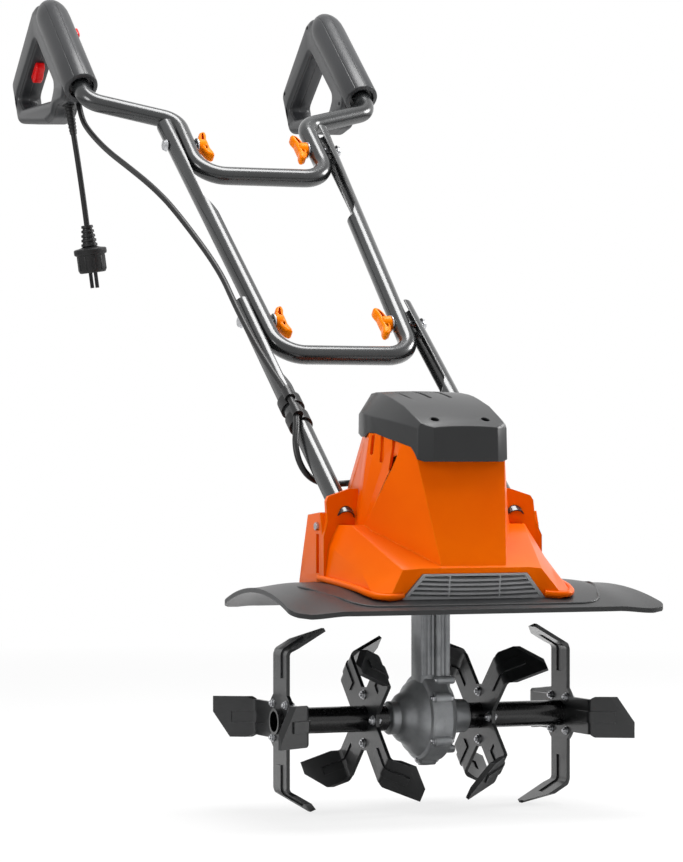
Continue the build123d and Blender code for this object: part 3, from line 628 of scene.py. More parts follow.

# %% [markdown]
# Leads hang by their own weight, so their line is a smooth spline through few points, never a row of
# straight runs. Each lead is a round mesh that follows points read back from its spline.
# The motor lead's two stretches are carried by no body and stay where they are made.

# %% Leads
LEAD_R = 3.5
LEAD_MEETING = (-133.0, 338.0, 529.0)
UPPER_ROUTE = (
    (-176.8, 644.5, 716.0), (-177.5, 632.0, 695.0), (-176.5, 600.0, 675.0), (-172.0, 551.0, 650.0),
    (-165.0, 487.0, 624.0), (-156.0, 431.0, 598.0), (-145.0, 384.0, 568.0), LEAD_MEETING,
)
LOWER_ROUTE = (
    LEAD_MEETING, (-122.8, 298.9, 495.8), (-121.0, 250.0, 451.0), (-119.5, 198.0, 410.0),
    (-114.0, 156.0, 376.0), (-107.6, 124.5, 350.3), (-107.6, 101.1, 331.6),
    (-113.0, 86.0, 314.0), (-119.0, 76.0, 296.0), (-118.0, 68.0, 276.0), (-109.0, 65.0, 260.0),
    (-93.0, 66.0, 252.0), (-76.0, 67.5, 251.0), (-63.0, 65.0, 251.8), (-58.4, 57.0, 252.6),
    (-58.0, 47.3, 253.0),
)
MAINS_ROUTE = ((-181.0, 652.0, 678.0), (-172.0, 650.0, 622.0), (-164.0, 651.0, 566.0))


def smooth_line(route):
    """Places along a lead's spline."""
    curve = bpy.data.curves.new("line", "CURVE")
    curve.dimensions = "3D"
    spline = curve.splines.new("NURBS")
    spline.points.add(len(route) - 1)
    for point, place in zip(spline.points, route):
        point.co = (*at(*place), 1)
    spline.order_u = 3
    spline.use_endpoint_u = True
    spline.resolution_u = 10
    holder = bpy.data.objects.new("line", curve)
    scene.collection.objects.link(holder)
    bpy.context.view_layer.update()
    mesh = bpy.data.meshes.new_from_object(holder)
    places = [v.co.copy() for v in mesh.vertices]
    bpy.data.objects.remove(holder)
    return places


def line_length(places):
    return sum((b - a).length for a, b in zip(places, places[1:]))


def lead(name, route, body):
    line = smooth_line(route)
    node = name.replace("_line", "")
    made = piece(name, swept(line, LEAD_R), body, SHEATH, [node])
    print(name, "is", round(line_length(line), 4), "m long")
    return made, line


upper_lead, upper_line = lead("motor_lead_upper_line", UPPER_ROUTE, None)
lower_lead, lower_line = lead("motor_lead_lower_line", LOWER_ROUTE, None)
mains_lead, mains_line = lead("mains_lead_line", MAINS_ROUTE, "upper_handle")
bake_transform(upper_lead)
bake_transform(lower_lead)

# %% [markdown]
# The mains lead leaves the left grip through a ribbed strain relief and ends in a round two-pin plug.
# Both are soft rubber turned forms: the ribs are steps in the profile, which is how the mould is cut.

# %% Strain relief and plug
mains_start = at(*MAINS_ROUTE[0])
mains_down = (mains_line[1] - mains_line[0]).normalized()
GLAND_LONG = 37.5
gland_profile = [(0, 8.0), (2.6, 8.0), (3.0, 7.0), (3.2, 6.4)]
for ring in range(7):
    start = 5.0 + ring * 4.4
    fat, thin = 6.2 - ring * 0.24, 5.2 - ring * 0.16
    gland_profile += [(start, thin), (start + 0.4, fat), (start + 2.6, fat), (start + 3.0, thin)]
gland_profile += [(35.6, 4.3), (GLAND_LONG - 0.3, 4.5), (GLAND_LONG, 4.2)]
piece(
    "strain_relief", turned(gland_profile, mains_start - mains_down * GLAND_LONG * MM, mains_down),
    "upper_handle", RUBBER, ["mains_gland"],
)
plug_at = mains_line[-1]
plug_down = (mains_line[-1] - mains_line[-2]).normalized()
neck = []
for ring in range(5):
    start, fat = ring * 5.6, 7.2 + ring * 0.7
    neck += [(start, fat - 1.6), (start + 0.5, fat), (start + 3.4, fat + 0.2), (start + 3.9, fat - 1.4)]
plug_profile = [(0, 5.0)] + neck + [
    (28.0, 13.0), (29.0, 19.0), (30.0, 20.3), (34.5, 20.4), (36.4, 19.6), (37.0, 17.8),
    (38.0, 17.4), (52.0, 17.2), (57.0, 16.8), (58.6, 15.8), (59.0, 14.5),
]
piece(
    "plug_moulding", turned(plug_profile, plug_at, plug_down, 56), "upper_handle", RUBBER,
    ["mains_plug"],
)
RIDGES, RIDGE_DOWN, RIDGE_OUT = 10, 47, 16.9
ridges = []
ridge_outline = rounded([(-9, -1.2), (9, -1.2), (9, 1.2), (-9, 1.2)], 1)
plug_across, plug_up = beside(plug_down)
for k in range(RIDGES):
    angle = 2 * math.pi * k / RIDGES
    out = plug_across * math.cos(angle) + plug_up * math.sin(angle)
    place = plug_at + plug_down * RIDGE_DOWN * MM + out * RIDGE_OUT * MM
    ridges.append(plate([ridge_outline], plane(place, plug_down, out.cross(plug_down)), 1.6, 0.5, 2))
piece("plug_grip_ridges", joined(*ridges), "upper_handle", RUBBER)
line_length(mains_line)
line_length(upper_line)
line_length(lower_line)
print("plug and strain relief made")

# %% [markdown]
# The orange housing is one moulding with three parts to read: a faceted skirt that spreads over the
# guard, a tower round the upright motor, and two sockets for the handle tubes. Skirt and tower are
# lofts of level outlines, and all are united so that the edges where they meet are real.

# %% Housing: skirt, tower and sockets
def level(half, z):
    """A symmetric level outline from its right half, front first. A place may have its own height."""
    right = [(p[0], p[1], p[2] if len(p) > 2 else z) for p in half]
    return [at(*p) for p in right] + [at(-x, y, h) for x, y, h in reversed(right)]


SKIRT_LEVELS = (
    level((
        (86, -129), (102, -133), (115, -124), (130, -12), (129, 34), (107, 80),
    ), 118),
    level((
        (78, -130, 139), (96, -136, 140), (114, -127, 139), (129.3, -12, 151), (128.6, 34, 151),
        (106, 78, 146),
    ), 140),
    level((
        (62, -134, 165), (80, -127, 163.5), (111, -88, 162), (122, -20, 189), (120, 30, 184),
        (100, 70, 176),
    ), 164),
    level((
        (94, -62, 198), (101, -40, 208.5), (107, -30, 208), (112, -10, 209), (106, 28, 206),
        (86, 62, 204),
    ), 214),
)
TOWER_FOOT_UP, TOWER_TALL = 150, 162
TOWER_FOOT, TOWER_HEAD = ((35, -135), (98, -30), (98, 50)), ((55, -88), (74, -27), (50, 44))
TOWER_LEVELS = (level(TOWER_FOOT, TOWER_FOOT_UP), level(TOWER_HEAD, TOWER_FOOT_UP + TOWER_TALL))


def extruded(outline, place, thick):
    """A straight prism of an outline in millimetres, half its thickness to either side."""
    low = [place @ Vector((x * MM, y * MM, -thick / 2 * MM)) for x, y in outline]
    high = [place @ Vector((x * MM, y * MM, thick / 2 * MM)) for x, y in outline]
    return loft([low, high])


def across_x(x):
    """A plane square to the axle, whose outline is read as (back, up) from the axle."""
    return plane(at(x, 0, 0), (0, 1, 0), (0, 0, 1))


def across_y(y):
    """A plane facing the front, whose outline is read as (right, up) from the axle."""
    return plane(at(0, y, 0), (1, 0, 0), (0, 0, 1))


SOCKET_X, SOCKET_WIDE = 107.8, 40.2
SOCKET_SIDE = (
    # back, up
    (-24, 122), (-22, 205), (-16, 222), (17, 219), (26, 193), (34, 170), (41, 148), (44, 122),
)
SOCKET_WALL = (
    # out, up, back
    (84, 122, -26), (128.4, 122, -26), (128.4, 196, -25), (122.5, 212, -21), (122, 234, -17),
    (119, 239, -16), (94, 247, -14), (84, 247, -14),
)
WALL_FACES = (-3.5, 2.0)
SLOT = ((-14.5, 157), (-6.5, 157), (-6.5, 199), (-14.5, 199))
TUBE_END, TUBE_SLOPE, TUBE_ROOM = (100, -16.4, 217.4), math.radians(38.5), 11.4
upwards = Vector((0, math.cos(TUBE_SLOPE), math.sin(TUBE_SLOPE)))
sockets, slots = [], []
for side in (-1, 1):
    sockets.append(extruded(SOCKET_SIDE, across_x(side * SOCKET_X), SOCKET_WIDE))
    sockets.append(loft([
        [at(side * x, y + deep, z) for x, z, y in SOCKET_WALL] for deep in WALL_FACES
    ]))
    slots.append(extruded(SLOT, across_x(side * 128), 9))
    start = at(side * TUBE_END[0], *TUBE_END[1:])
    slots.append(swept([start, start + upwards * 0.2], TUBE_ROOM, 32))
housing = united(loft(SKIRT_LEVELS), loft(TOWER_LEVELS), *sockets)
print("housing:", len(housing[1]), "faces before its slots are cut")

# %% [markdown]
# Three upright vents run down each flank of the tower under the cap. They are cut as pockets, so that
# light dies in them as it does in the real ones. The guard, the cap, the grille and the motor each
# need their own room too, and that is cut at the same time.

# %% Housing: vents, cap seat and guard seat
def flank(side, share, z):
    """A place on the tower's slanting front flank, from its front edge to its side edge."""
    up = (z - TOWER_FOOT_UP) / TOWER_TALL
    ends = zip(TOWER_FOOT[:2], TOWER_HEAD[:2])
    front, back = (Vector(foot).lerp(Vector(head), up) for foot, head in ends)
    place = front.lerp(back, share)
    return at(side * place.x, place.y, z)


VENTS = (
    # share of the flank, top, foot
    (0.90, 305, 283), (0.70, 305, 275), (0.46, 302, 266),
)
VENT_HALF, VENT_DEEP = 2.6, 8
vents = []
for side in (-1, 1):
    for share, top, foot in VENTS:
        high, low = flank(side, share, top), flank(side, share, foot)
        across = flank(side, share + 0.1, foot) - low
        half = (high - low).length / MM / 2
        corners = [(-VENT_HALF, -half), (VENT_HALF, -half), (VENT_HALF, half), (-VENT_HALF, half)]
        middle = plane((high + low) / 2, across, high - low)
        vents.append(extruded(rounded(corners, 2.5), middle, VENT_DEEP))
GUARD_ROLL, GUARD_CREST = 368.7, -24
GEAR_X = 4
WIDER = 400
guard_middle = at(0, GUARD_CREST, 148.3 - GUARD_ROLL)
guard_cut = turned([(-WIDER, GUARD_ROLL), (WIDER, GUARD_ROLL)], guard_middle, (1, 0, 0), 720)
CAP_PARTING = (
    (-140, 275.5), (-105, 275.5), (-101, 278), (-97, 285), (-92, 291), (-77, 295.5), (-58, 300),
    (-38, 306), (-26, 306.5), (-17, 302), (2, 302), (14, 305), (120, 308),
)
cap_cut = extruded(CAP_PARTING + ((120, 400), (-140, 400)), across_x(0), WIDER)
motor_room = turned([(0, 46), (160, 46)], at(GEAR_X, -22, 100), (0, 0, 1), 48)
grille_up = Vector((0, -4, 28.7)).normalized()
grille_foot = Vector(at(0, -127.5, 131))
GRILLE = ((-84, 0), (84, 0), (59.8, 28.7), (-59.8, 28.7))
grille_plane = plane(grille_foot, (1, 0, 0), grille_up)
grille_pocket = extruded([(x * 1.01, y) for x, y in GRILLE], grille_plane, 12)
rooms = (grille_pocket, guard_cut, cap_cut, motor_room)
housing = united(housing, *slots, *vents, *rooms, operation="DIFFERENCE")
print("housing:", len(housing[1]), "faces")
piece("housing_moulding", housing, "machine", ORANGE, ["motor_cover"], smooth=22)

# %% [markdown]
# A rolled lip runs round the foot of the skirt, where the moulding is stiffened and screwed down.
# It follows the guard's arch, so it is swept along places that lie just over the guard.

# %% Housing: rolled lip
def guard_top(x, y):
    """Height of the guard's top over the axle: rolled, and drooping towards both ends."""
    arch = math.sqrt(GUARD_ROLL**2 - (y - GUARD_CREST) ** 2) - GUARD_ROLL
    away = min(1.0, max(0.0, (abs(x) - 150) / 50))
    return 148 + arch * (0.96 - 0.1 * away) - 5.0 * away * away * (3 - 2 * away)


LIP_R, LIP_UP = 3.4, 4.6
LIP = ((-82, -131), (-99, -138), (-116, -131), (-123, -95), (-132, -24))
lips = []
for side in (-1, 1):
    route = [(-side * x, y, guard_top(x, y) + LIP_UP) for x, y in LIP]
    lips.append(swept(smooth_line(route), LIP_R, 12))
piece("housing_lip", joined(*lips), "machine", ORANGE, smooth=60)

# %% [markdown]
# The black cap closes the tower. It is a faceted hood with three slanting grooves on top and two dark
# screw holes in its front slope. The hood is a loft of level outlines, and grooves and holes are cut.

# %% Cap
CAP_ROWS = (
    # back, half width and height of the shoulder, half width and height of the ridge
    (-109.5, 37, 311.5, 36, 312), (-105, 45, 311.3, 43, 314), (-101, 51.5, 311.5, 48, 316.8),
    (-85, 58, 315, 49, 324.6), (-61, 66, 319.5, 50, 335), (-33, 75, 324, 50.5, 343),
    (-20, 76, 326.5, 51, 346), (-6, 73.5, 328, 51, 348.5), (12, 69.5, 328, 50, 350.5),
    (35, 61, 327, 46, 349.5), (51, 54, 322, 42, 343),
)
CROWN, HOOD_FOOT = 1.5, 268
rows = []
for back, half, shoulder, ridge, height in CAP_ROWS:
    crown = [(ridge * k, height + CROWN * (1 - k * k)) for k in (0.25, 0.5, 0.75, 1)]
    right = crown + [(half, shoulder), (half + 1, HOOD_FOOT)]
    left = [at(-x, back, z) for x, z in reversed(right)]
    rows.append(left + [at(0, back, height + CROWN)] + [at(x, back, z) for x, z in right])
groove = rounded([(-23, -2.2), (23, -2.2), (23, 2.2), (-23, 2.2)], 2)
cuts = []
for k in range(3):
    middle = at(-33 + 25 * k, -16 + 3 * k, 350.5)
    cuts.append(extruded(groove, plane(middle, (0.05, -1, -0.2), (1, 0.05, 0)), 7))
for x in (-29.3, 29.3):
    cuts.append(turned([(-9, 4.8), (12, 4.8)], at(x, -94.8, 320), (0, -0.5, 1), 24))
SEAM_GAP = 0.4
below = ((-140, 200), *((y, z + SEAM_GAP) for y, z in CAP_PARTING), (120, 200))
under_cap = extruded(below, across_x(0), WIDER)
cap = united(loft(rows), *cuts, under_cap, operation="DIFFERENCE")
piece("cap_moulding", cap, "machine", CAP_PLASTIC, ["motor_cap"], 0.8, 24)
print("cap:", len(cap[1]), "faces")

# %% [markdown]
# The guard is one thick plastic sheet over the tines. Its arch falls away at both ends, and a fine
# bead surrounds the seat of the housing. A way is left open for the gearbox's neck.

# %% Guard
GUARD_THICK = 5.0
GUARD_FRONT, GUARD_DEEP = -160, 272
GUARD_HALF, GUARD_TAPER, GUARD_CORNER = 216, 24, 20
NECK_WAY = ((-12, 26), (-30, 26))
DEEP, WIDE = 61, 81


def guard_grid(drop):
    """Even rows of places over the guard, drawn in round its corners."""
    rows = []
    for i in range(DEEP):
        y = GUARD_FRONT + GUARD_DEEP * i / (DEEP - 1)
        half = GUARD_HALF - GUARD_TAPER * (y - GUARD_FRONT) / GUARD_DEEP
        row = []
        for j in range(WIDE):
            x = half * (j / (WIDE // 2) - 1)
            near = min(y - GUARD_FRONT, GUARD_FRONT + GUARD_DEEP - y)
            if near < GUARD_CORNER and half - abs(x) < GUARD_CORNER:
                cx, cy = half - GUARD_CORNER, GUARD_CORNER - near
                if abs(x) > cx:
                    reach = math.sqrt(max(0, GUARD_CORNER**2 - cy * cy))
                    x = math.copysign(cx + (abs(x) - cx) * reach / GUARD_CORNER, x)
            row.append(at(x, y, guard_top(x, y) - drop))
        rows.append(row)
    return rows


verts = [p for drop in (0, GUARD_THICK) for row in guard_grid(drop) for p in row]
faces = []
for i in range(DEEP - 1):
    for j in range(WIDE - 1):
        a = i * WIDE + j
        x, y, _ = (verts[a] + HANDS * MM) / MM
        if all(least < v < most for v, (least, most) in zip((x, y), NECK_WAY)):
            continue
        quad = (a, a + 1, a + WIDE + 1, a + WIDE)
        faces += [quad, tuple(v + WIDE * DEEP for v in reversed(quad))]
rim = list(range(WIDE)) + [i * WIDE + WIDE - 1 for i in range(1, DEEP)]
rim += [(DEEP - 1) * WIDE + j for j in range(WIDE - 2, -1, -1)]
rim += [i * WIDE for i in range(DEEP - 2, 0, -1)]
for a, b in zip(rim, rim[1:] + rim[:1]):
    faces.append((a, a + WIDE * DEEP, b + WIDE * DEEP, b))
piece(
    "guard_sheet", (verts, faces), "machine", GUARD_PLASTIC, ["tine_guard"],
    smooth=50,
)
BEAD_R, BEAD_UP = 1.5, 0.1
SEAT = rounded([(-138, -150), (138, -150), (170, -70), (150, 98), (-150, 98), (-170, -70)], 36)
beads = [at(x, y, guard_top(x, y) + BEAD_UP) for x, y in SEAT + SEAT[:1]]
piece("guard_bead", swept(beads, BEAD_R, 8), "machine", GUARD_PLASTIC, smooth=60)
print("guard:", len(faces), "faces")

# %% [markdown]
# The front grille is a grey moulding let into the skirt: a trapezium frame with five curved louvres
# and two upright ribs. The louvres sag a little towards the middle and lean like blinds.

# %% Front grille
opening = [(-77, 3.0), (77, 3.0), (57, 26.2), (-57, 26.2)]
parts = [plate([GRILLE, opening], grille_plane, 7.0, 0.6, 2)]
LOUVRES, PITCH = 5, 4.75
LOUVRE = ((2.2, -1.2), (0.6, 2.4), (-1.7, 2.6), (-1.7, 1.6), (0.4, -1.8))
SAG = 1.8
for row in range(LOUVRES):
    y = 4.9 + row * PITCH
    half = 77 - (y - 3.0) * 20 / 23.2 + 1.5
    sections = []
    for i in range(25):
        x = half * (i / 12 - 1)
        sag = -SAG * (1 - (x / half) ** 2)
        sections.append([
            grille_plane @ (Vector((x, y + v + sag, out)) * MM) for v, out in LOUVRE
        ])
    parts.append(loft(sections))
for x in (-29, 29):
    rib = [(x - 0.8, 2), (x + 0.8, 2), (x + 0.8, 27), (x - 0.8, 27)]
    parts.append(plate([rib], grille_plane, 6.0, 0.4, 1))
piece(
    "front_grille_bars", joined(*parts), "machine", GRILLE_GREY, ["front_grille"],
    smooth=40,
)
# A black sheet behind the louvres is painted shade: it darkens the grille's pocket.
behind = grille_plane.to_3x3() @ Vector((0, 0, -4.8 * MM))
shade_sheet_plane = plane(grille_foot + behind, (1, 0, 0), grille_up)
shade_sheet = extruded([(x * 0.985, y) for x, y in GRILLE], shade_sheet_plane, 1)
piece("grille_shade", shade_sheet, "machine", CLIP_AND_SHADE_BLACK)
print("grille made")

# %% [markdown]
# Each grip is a D of two moulded halves. In the side view it is an outline with a window, so it starts
# as a plate with well rolled edges, and a turned sleeve round the tube runs up its lower side.

# %% Grips
UP_HIGH = Vector((0, math.cos(math.radians(41)), math.sin(math.radians(41))))
GRIP_OUTLINE = (
    (628, 716), (664, 712), (672, 700), (700, 694), (815, 704), (842, 757), (756, 842), (738, 848),
    (700, 822), (624, 745.7),
)
GRIP_WINDOW = ((742, 803), (668, 739), (680, 722), (800, 722), (818, 736))
SLEEVE = [
    (0.4, 14.6), (0.6, 19.0), (1.6, 20.6), (3.0, 21.0), (60, 21.0),
    (140, 21.0), (150, 20.6), (158, 19.3), (165, 17.0), (170, 14.5), (173.2, 12.4), (174, 9.0),
    (174.2, 3.0),
]
SLEEVE_FOOT = (606, 730)
OUT_OF_SLEEVE = UP_HIGH.cross(Vector((1, 0, 0)))
RIBS, RIB_STEP, RIB_SIDE = 7, 8.6, 13.2
SCREW_HOLES = ((748, 836), (640, 728), (690, 705), (812, 716), (826, 758), (716, 772))
LOOP_THICK, LOOP_EDGE = 34, 8.5
rib_outline = rounded([(-7.5, -1.2), (7.5, -1.2), (7.5, 1.2), (-7.5, 1.2)], 1)
hole = rounded([(-9, -5), (9, -5), (9, 5), (-9, 5)], 2)


def slimmed(shape, middle):
    """Draws the loop in across its width, the more so the further it is from the sleeve."""
    verts, faces = shape
    made = []
    for v in verts:
        away = -(v - at(middle, *SLEEVE_FOOT)).dot(OUT_OF_SLEEVE) / MM
        slim = 1 - 0.24 * min(1, max(0, (away - 22) / 50))
        made.append(Vector(((v.x / MM - middle) * slim * MM + middle * MM, v.y, v.z)))
    return made, faces


for side, name in ((-1, "left"), (1, "right")):
    middle = side * GRIP_X
    foot = at(middle, *SLEEVE_FOOT)
    outlines = [rounded(GRIP_OUTLINE, 14), rounded(GRIP_WINDOW, 9)]
    loop = plate(outlines, across_x(middle), LOOP_THICK, LOOP_EDGE, 5)
    sleeve = turned(SLEEVE, foot, UP_HIGH, 48)
    grooves = [turned([(-2, 15.6), (8, 15.6)], foot, UP_HIGH, 40)]
    for half in (-1, 1):
        for k in range(RIBS):
            place = at(middle + half * RIB_SIDE, 764 + k * RIB_STEP, 820 - k * RIB_STEP)
            grooves.append(extruded(rib_outline, plane(place, (0, 1, 0.25), (0, -0.25, 1)), 2.4))
    for y, z in SCREW_HOLES:
        place = at(middle - side * 21, y, z)
        grooves.append(turned([(0, 2.6), (9, 2.6)], place, (side, 0, 0), 20))
    if side < 0:
        grooves.append(extruded(hole, plane(at(middle, 752, 698), (0, 1, 0.08), (1, 0, 0)), 9))
    shape = united(united(slimmed(loop, middle), sleeve), *grooves, operation="DIFFERENCE")
    piece(
        f"grip_{name}_moulding", shape, "upper_handle", GRIP_PLASTIC,
        [f"grip_{name}_inner", f"grip_{name}_outer"], smooth=40,
    )
    print("grip", name, len(shape[1]), "faces")

# %% [markdown]
# The left grip carries the switch: a red trigger inside the loop, curved for a finger, and a small
# red lock button on the sleeve that has to be pressed first.

# %% Trigger and lock button
bar_top, bar_foot = Vector((0, 742, 803)), Vector((0, 818, 736))
along_bar = (bar_top - bar_foot).normalized()
trigger_middle = (bar_top + bar_foot) / 2
outline = rounded([(-14, -1.5), (14, -1.5), (11, 7.5), (3, 8.6), (-5, 11.8), (-13.4, 10.2)], 3)
into = Vector((1, 0, 0)).cross(along_bar)
trigger_plane = plane(at(-GRIP_X, trigger_middle.y, trigger_middle.z), along_bar, into)
piece(
    "trigger_moulding", plate([outline], trigger_plane, 12, 2.2, 4),
    "upper_handle", RED_SWITCH, ["switch_trigger"],
)
SLEEVE_R, BUTTON_ALONG, BUTTON_OUT = 21, 118, 1.8
button = at(
    -GRIP_X + SLEEVE_R + BUTTON_OUT,
    SLEEVE_FOOT[0] + BUTTON_ALONG * UP_HIGH.y,
    SLEEVE_FOOT[1] + BUTTON_ALONG * UP_HIGH.z,
)
outline = rounded([(-8, -4.5), (8, -4.5), (8, 4.5), (-8, 4.5)], 4.4)
piece(
    "lock_button_moulding", plate([outline], plane(button, UP_HIGH, OUT_OF_SLEEVE), 5, 1.4, 4),
    "upper_handle", RED_SWITCH, ["lock_button"],
)
print("switch made")

# %% [markdown]
# A wing knob clamps each pivot. Seen from the side it is a hub with two swept wings, thick at the
# hub and rounded at the tips. It is moulded round a steel nut, so a bright washer shows under it.

# %% Wing knobs
LOW_PIVOT, TOP_PIVOT = Vector((0, 256, 434)), Vector((0, 510.34, 655.09))
WING = (
    (-9, 0.6), (9, 0.6), (15, 2.2), (21, 5.0), (24, 9.5), (22.6, 13.0), (17, 13.0), (9, 10.8), (5, 11),
    (-5, 11), (-9, 10.8), (-17, 13.0), (-22.6, 13.0), (-24, 9.5), (-21, 5.0), (-15, 2.2),
)
HUB = [(0, 8.6), (0.8, 9.4), (8.5, 9.0), (10.4, 7.8), (11.0, 5.6), (10.2, 4.6)]
WASHER = [(0, 9.5), (0.3, 10), (1.4, 10), (1.7, 9.5)]
for side, side_name in ((-1, "left"), (1, "right")):
    for name, pivot in (("lower", LOW_PIVOT), ("upper", TOP_PIVOT)):
        node = f"{name}_knob_{side_name}"
        body = next(b for b, o in frame["bodies"].items() if frame["nodes"][node].parent == o)
        low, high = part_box(node)
        face = high.x if side > 0 else low.x
        centre = Vector((face, *(at(0, pivot.y, pivot.z).yz)))
        inwards = Vector((-side, 0, 0))
        wing_plane = plane(centre + inwards * 2.5 * MM, UP_HIGH, inwards)
        wing = plate([rounded(WING, 3)], wing_plane, 13, 3.4, 4)
        hub = turned(HUB, centre, inwards, 32)
        piece(f"{name}_wing_knob_{side_name}", joined(wing, hub), body, KNOB_ORANGE, [node])
        washer = turned(WASHER, centre - inwards * 1.75 * MM, inwards, 32)
        piece(f"{name}_washer_{side_name}", washer, body, ZINC)
print("knobs made")

# %% [markdown]
# The gearbox is cast in two halves that meet on an upright face. The left one is a bell that
# carries the shaft, with a rounded neck up to the motor. The right one is a flat cover, stiffened
# by two round columns and drawn up by long screws in bosses, which the picture shows most of.

# %% Gearbox castings
BELL = [
    (0, 47), (10, 47), (12, 45.6), (13.4, 42), (16, 40.5), (20, 37.5), (23.5, 32), (27, 28.6), (33, 25.4),
    (36.4, 21.6), (37.6, 18.6), (39, 18), (45.4, 18), (46.6, 17), (47, 15), (47, 11),
]
COVER = [
    (0, 47), (10, 47), (12, 45.6), (15, 42), (19, 38), (22, 28), (25, 21), (27, 18.6), (42.8, 18),
    (44.6, 17), (45, 15), (45, 11),
]
NECK_SIDE = ((4, -21), (-5, -21), (-10.4, -17), (-12, -11), (-12, 4), (-9, 12), (4, 14))
NECK_LEVELS = ((20, 0), (112, 0), (130, 3), (142, 8), (150, 10))
neck = loft([
    [at(x - flare * (x < 4), y, z) for x, y in NECK_SIDE] for z, flare in NECK_LEVELS
])
BAR_PLACES = ((-9.5, -18.2), (-3.5, -20.8), (1.5, -21.2))
bars = [swept([at(x, y, 46), at(x, y, 124)], 2.0, 12) for x, y in BAR_PLACES]
RIM_RADIUS, RIM_ANGLES = 46, (-150, -90, -30, 30, 150)
LUG = [(-9, 6), (-0.6, 6.4), (0.6, 6.4), (9, 6)]


def on_rim(degrees, off=0):
    """A place among the gearbox's rim screws, so far to the right of the parting face."""
    a = math.radians(degrees)
    return at(GEAR_X + off, RIM_RADIUS * math.cos(a), RIM_RADIUS * math.sin(a))


parting = at(GEAR_X, 0, 0)
lugs = [turned(LUG, on_rim(degrees), (1, 0, 0), 24) for degrees in RIM_ANGLES]
piece(
    "gearbox_bell_casting", joined(turned(BELL, parting, (-1, 0, 0), 64), neck, *bars),
    "machine", CASTING, ["gearbox_left_half"], smooth=30,
)
SLAB = [(GEAR_X, -27), (20, -27), (20, 118), (20, 149), (GEAR_X, 149)]
slab = plate([rounded(SLAB, 2)], across_y(-3), 42, 1.2, 2)
columns = [
    swept([at(x, -23.4, z) for z in (-28, -26.5, 116, 148)], 3.4, 20)
    for x in (GEAR_X + 3.2, 17.2)
]
BOSS = [(0, 3.6), (1.2, 4.4), (20, 4.4), (21.5, 3.6)]
BOSS_SCREW = [(0, 3), (1.6, 3), (2.0, 2.6), (2.0, 1.4), (1.0, 1.3)]
boss_places = [at(3, -25.6, z) for z in (-33, 41)]
bosses = [turned(BOSS, place, (1, 0, 0), 24) for place in boss_places]
piece(
    "gearbox_cover_casting",
    joined(turned(COVER, parting, (1, 0, 0), 64), slab, *columns, *bosses, *lugs),
    "machine", CASTING, ["gearbox_right_half"], smooth=30,
)
boss_screws = [turned(BOSS_SCREW, place, (-1, 0, 0), 20) for place in boss_places]
piece("gearbox_boss_screws", joined(*boss_screws), "machine", ZINC, smooth=30)
print("castings made")

# %% [markdown]
# Small hardware makes the drive believable: nuts and washers hold each star to its flange, and screws
# hold the two halves of the gearbox together. All are turned forms, with six sides for a nut.

# %% Nuts and screws
def nut(place, axis, across_flats, thick):
    """A nut on its washer, with the end of its thread."""
    radius = across_flats / math.sqrt(3)
    washer = [(0, radius * 1.15), (0.9, radius * 1.15)]
    flats = [(0.9, radius * 0.94), (1.3, radius), (thick - 0.4, radius), (thick, radius * 0.9)]
    thread = [(thick, 2.2), (thick + 1.4, 2.2), (thick + 1.8, 1.8)]
    forms = ((washer, 24), (flats, 6), (thread, 16))
    return joined(*[turned(profile, place, axis, steps) for profile, steps in forms])


NUT_RADIUS, STAR_HALF = 26, 2.05
for side, side_name in ((-1, "left"), (1, "right")):
    for ring_name, x, phase, flats in (("outer", 165, 45, 7), ("inner", 68, 0, 8)):
        nuts = []
        for k in range(4):
            angle = math.radians(phase + 90 * k)
            y, z = NUT_RADIUS * math.cos(angle), NUT_RADIUS * math.sin(angle)
            for facing in (-1, 1):
                place = at(side * x + facing * STAR_HALF, y, z)
                nuts.append(nut(place, (facing, 0, 0), flats, 3.2))
        name = f"{ring_name}_star_nuts_{side_name}"
        piece(name, joined(*nuts), "rotor", ZINC, smooth=30)
screws = []
for degrees in RIM_ANGLES:
    for facing in (-1, 1):
        screws.append(nut(on_rim(degrees, facing * 9), (facing, 0, 0), 7, 3))
piece("gearbox_screws", joined(*screws), "machine", ZINC, smooth=30)
print("hardware made")

# %% [markdown]
# The setting is a studio: a pale floor that takes a faint shadow, white all round, a broad lamp
# overhead, and one from either side for the faces that turn away from the camera.

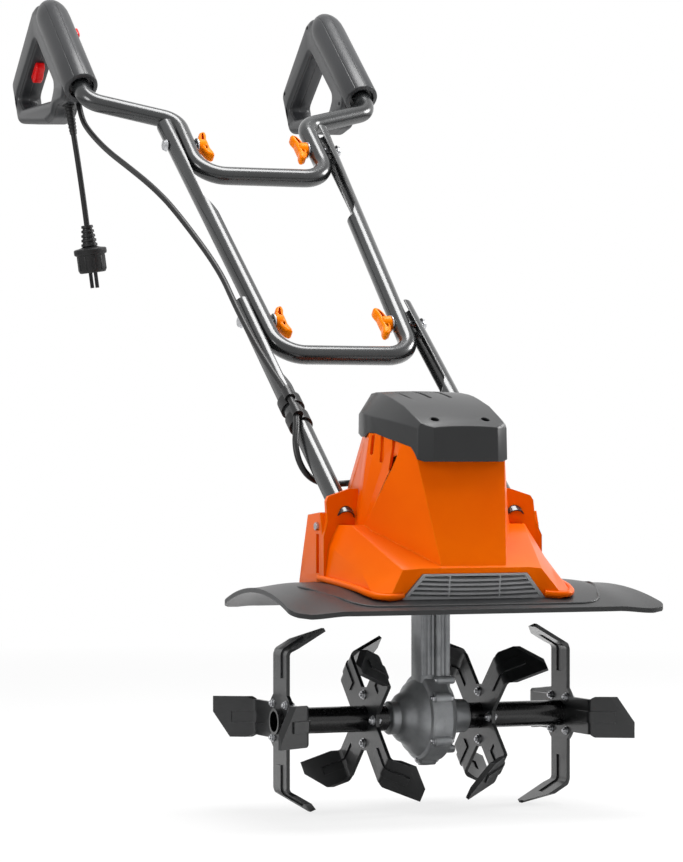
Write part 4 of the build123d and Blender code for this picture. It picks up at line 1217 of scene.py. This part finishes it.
# %% Studio
FLOOR_HALF = 12
ground = at(0, 0, TINES_LOW).z
corners = [
    Vector((x * FLOOR_HALF, y * FLOOR_HALF, ground)) for x, y in ((-1, -1), (1, -1), (1, 1), (-1, 1))
]
floor = meshed("floor", (corners, [(0, 1, 2, 3)]))
f = Finish("studio floor")
f.shader.inputs["Roughness"].default_value = 0.9
f.shader.inputs["Base Color"].default_value = (0.92, 0.92, 0.92, 1)
seen = f.node("ShaderNodeLightPath", out="Is Camera Ray")
glow = f.node("ShaderNodeEmission", values={"Color": (1, 1, 1, 1), "Strength": 1.0})
away = f.node("ShaderNodeVectorMath", {"operation": "LENGTH"}, {0: f.where()}, out=1)
share = f.graded(away, 1.2, 2.6, 0.80, 1.0)
mixed = f.node("ShaderNodeMixShader", values={0: seen * share, 1: Wire(f.shader.outputs[0]), 2: glow})
f.tree.links.new(mixed.output, f.tree.nodes["Material Output"].inputs["Surface"])
floor.data.materials.append(f.material)
floor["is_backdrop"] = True

world = bpy.data.worlds.new("studio")
scene.world = world
world.use_nodes = True
sky = world.node_tree
path = sky.nodes.new("ShaderNodeLightPath")
camera_ray, glossy_ray, clear_ray = (
    Wire(path.outputs[f"Is {kind} Ray"]) for kind in ("Camera", "Glossy", "Transmission")
)
rays = camera_ray + glossy_ray + clear_ray
SOFT_LIGHT = 0.30
strength = rays.sum("MINIMUM", rays, 1.0) * (1 - SOFT_LIGHT) + SOFT_LIGHT
background = sky.nodes["Background"]
background.inputs["Color"].default_value = (1, 1, 1, 1)
sky.links.new(strength.output, background.inputs["Strength"])


def lamp(name, place, aim, power, size):
    """A round lamp of a power in watts and a width in metres, aimed at a place."""
    data = bpy.data.lights.new(name, "AREA")
    data.energy = power
    data.shape = "DISK"
    data.size = size
    made = bpy.data.objects.new(name, data)
    scene.collection.objects.link(made)
    made.location = at(*place)
    made.rotation_euler = (at(*aim) - at(*place)).to_track_quat("-Z", "Y").to_euler()


lamp("overhead", (300, 200, 2600), (0, 50, 250), 60, 1.4)
lamp("right", (2300, 100, 1500), (0, 0, 200), 42, 1.0)
lamp("left", (-2400, -300, 1300), (0, 100, 300), 26, 1.0)
scene.view_settings.view_transform = "Standard"
print("studio lit")

# %% [markdown]
# Last, the size of the dressed machine is printed.

# %% Sizes
low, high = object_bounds()
print("dressed size", [round(v, 4) for v in high - low])
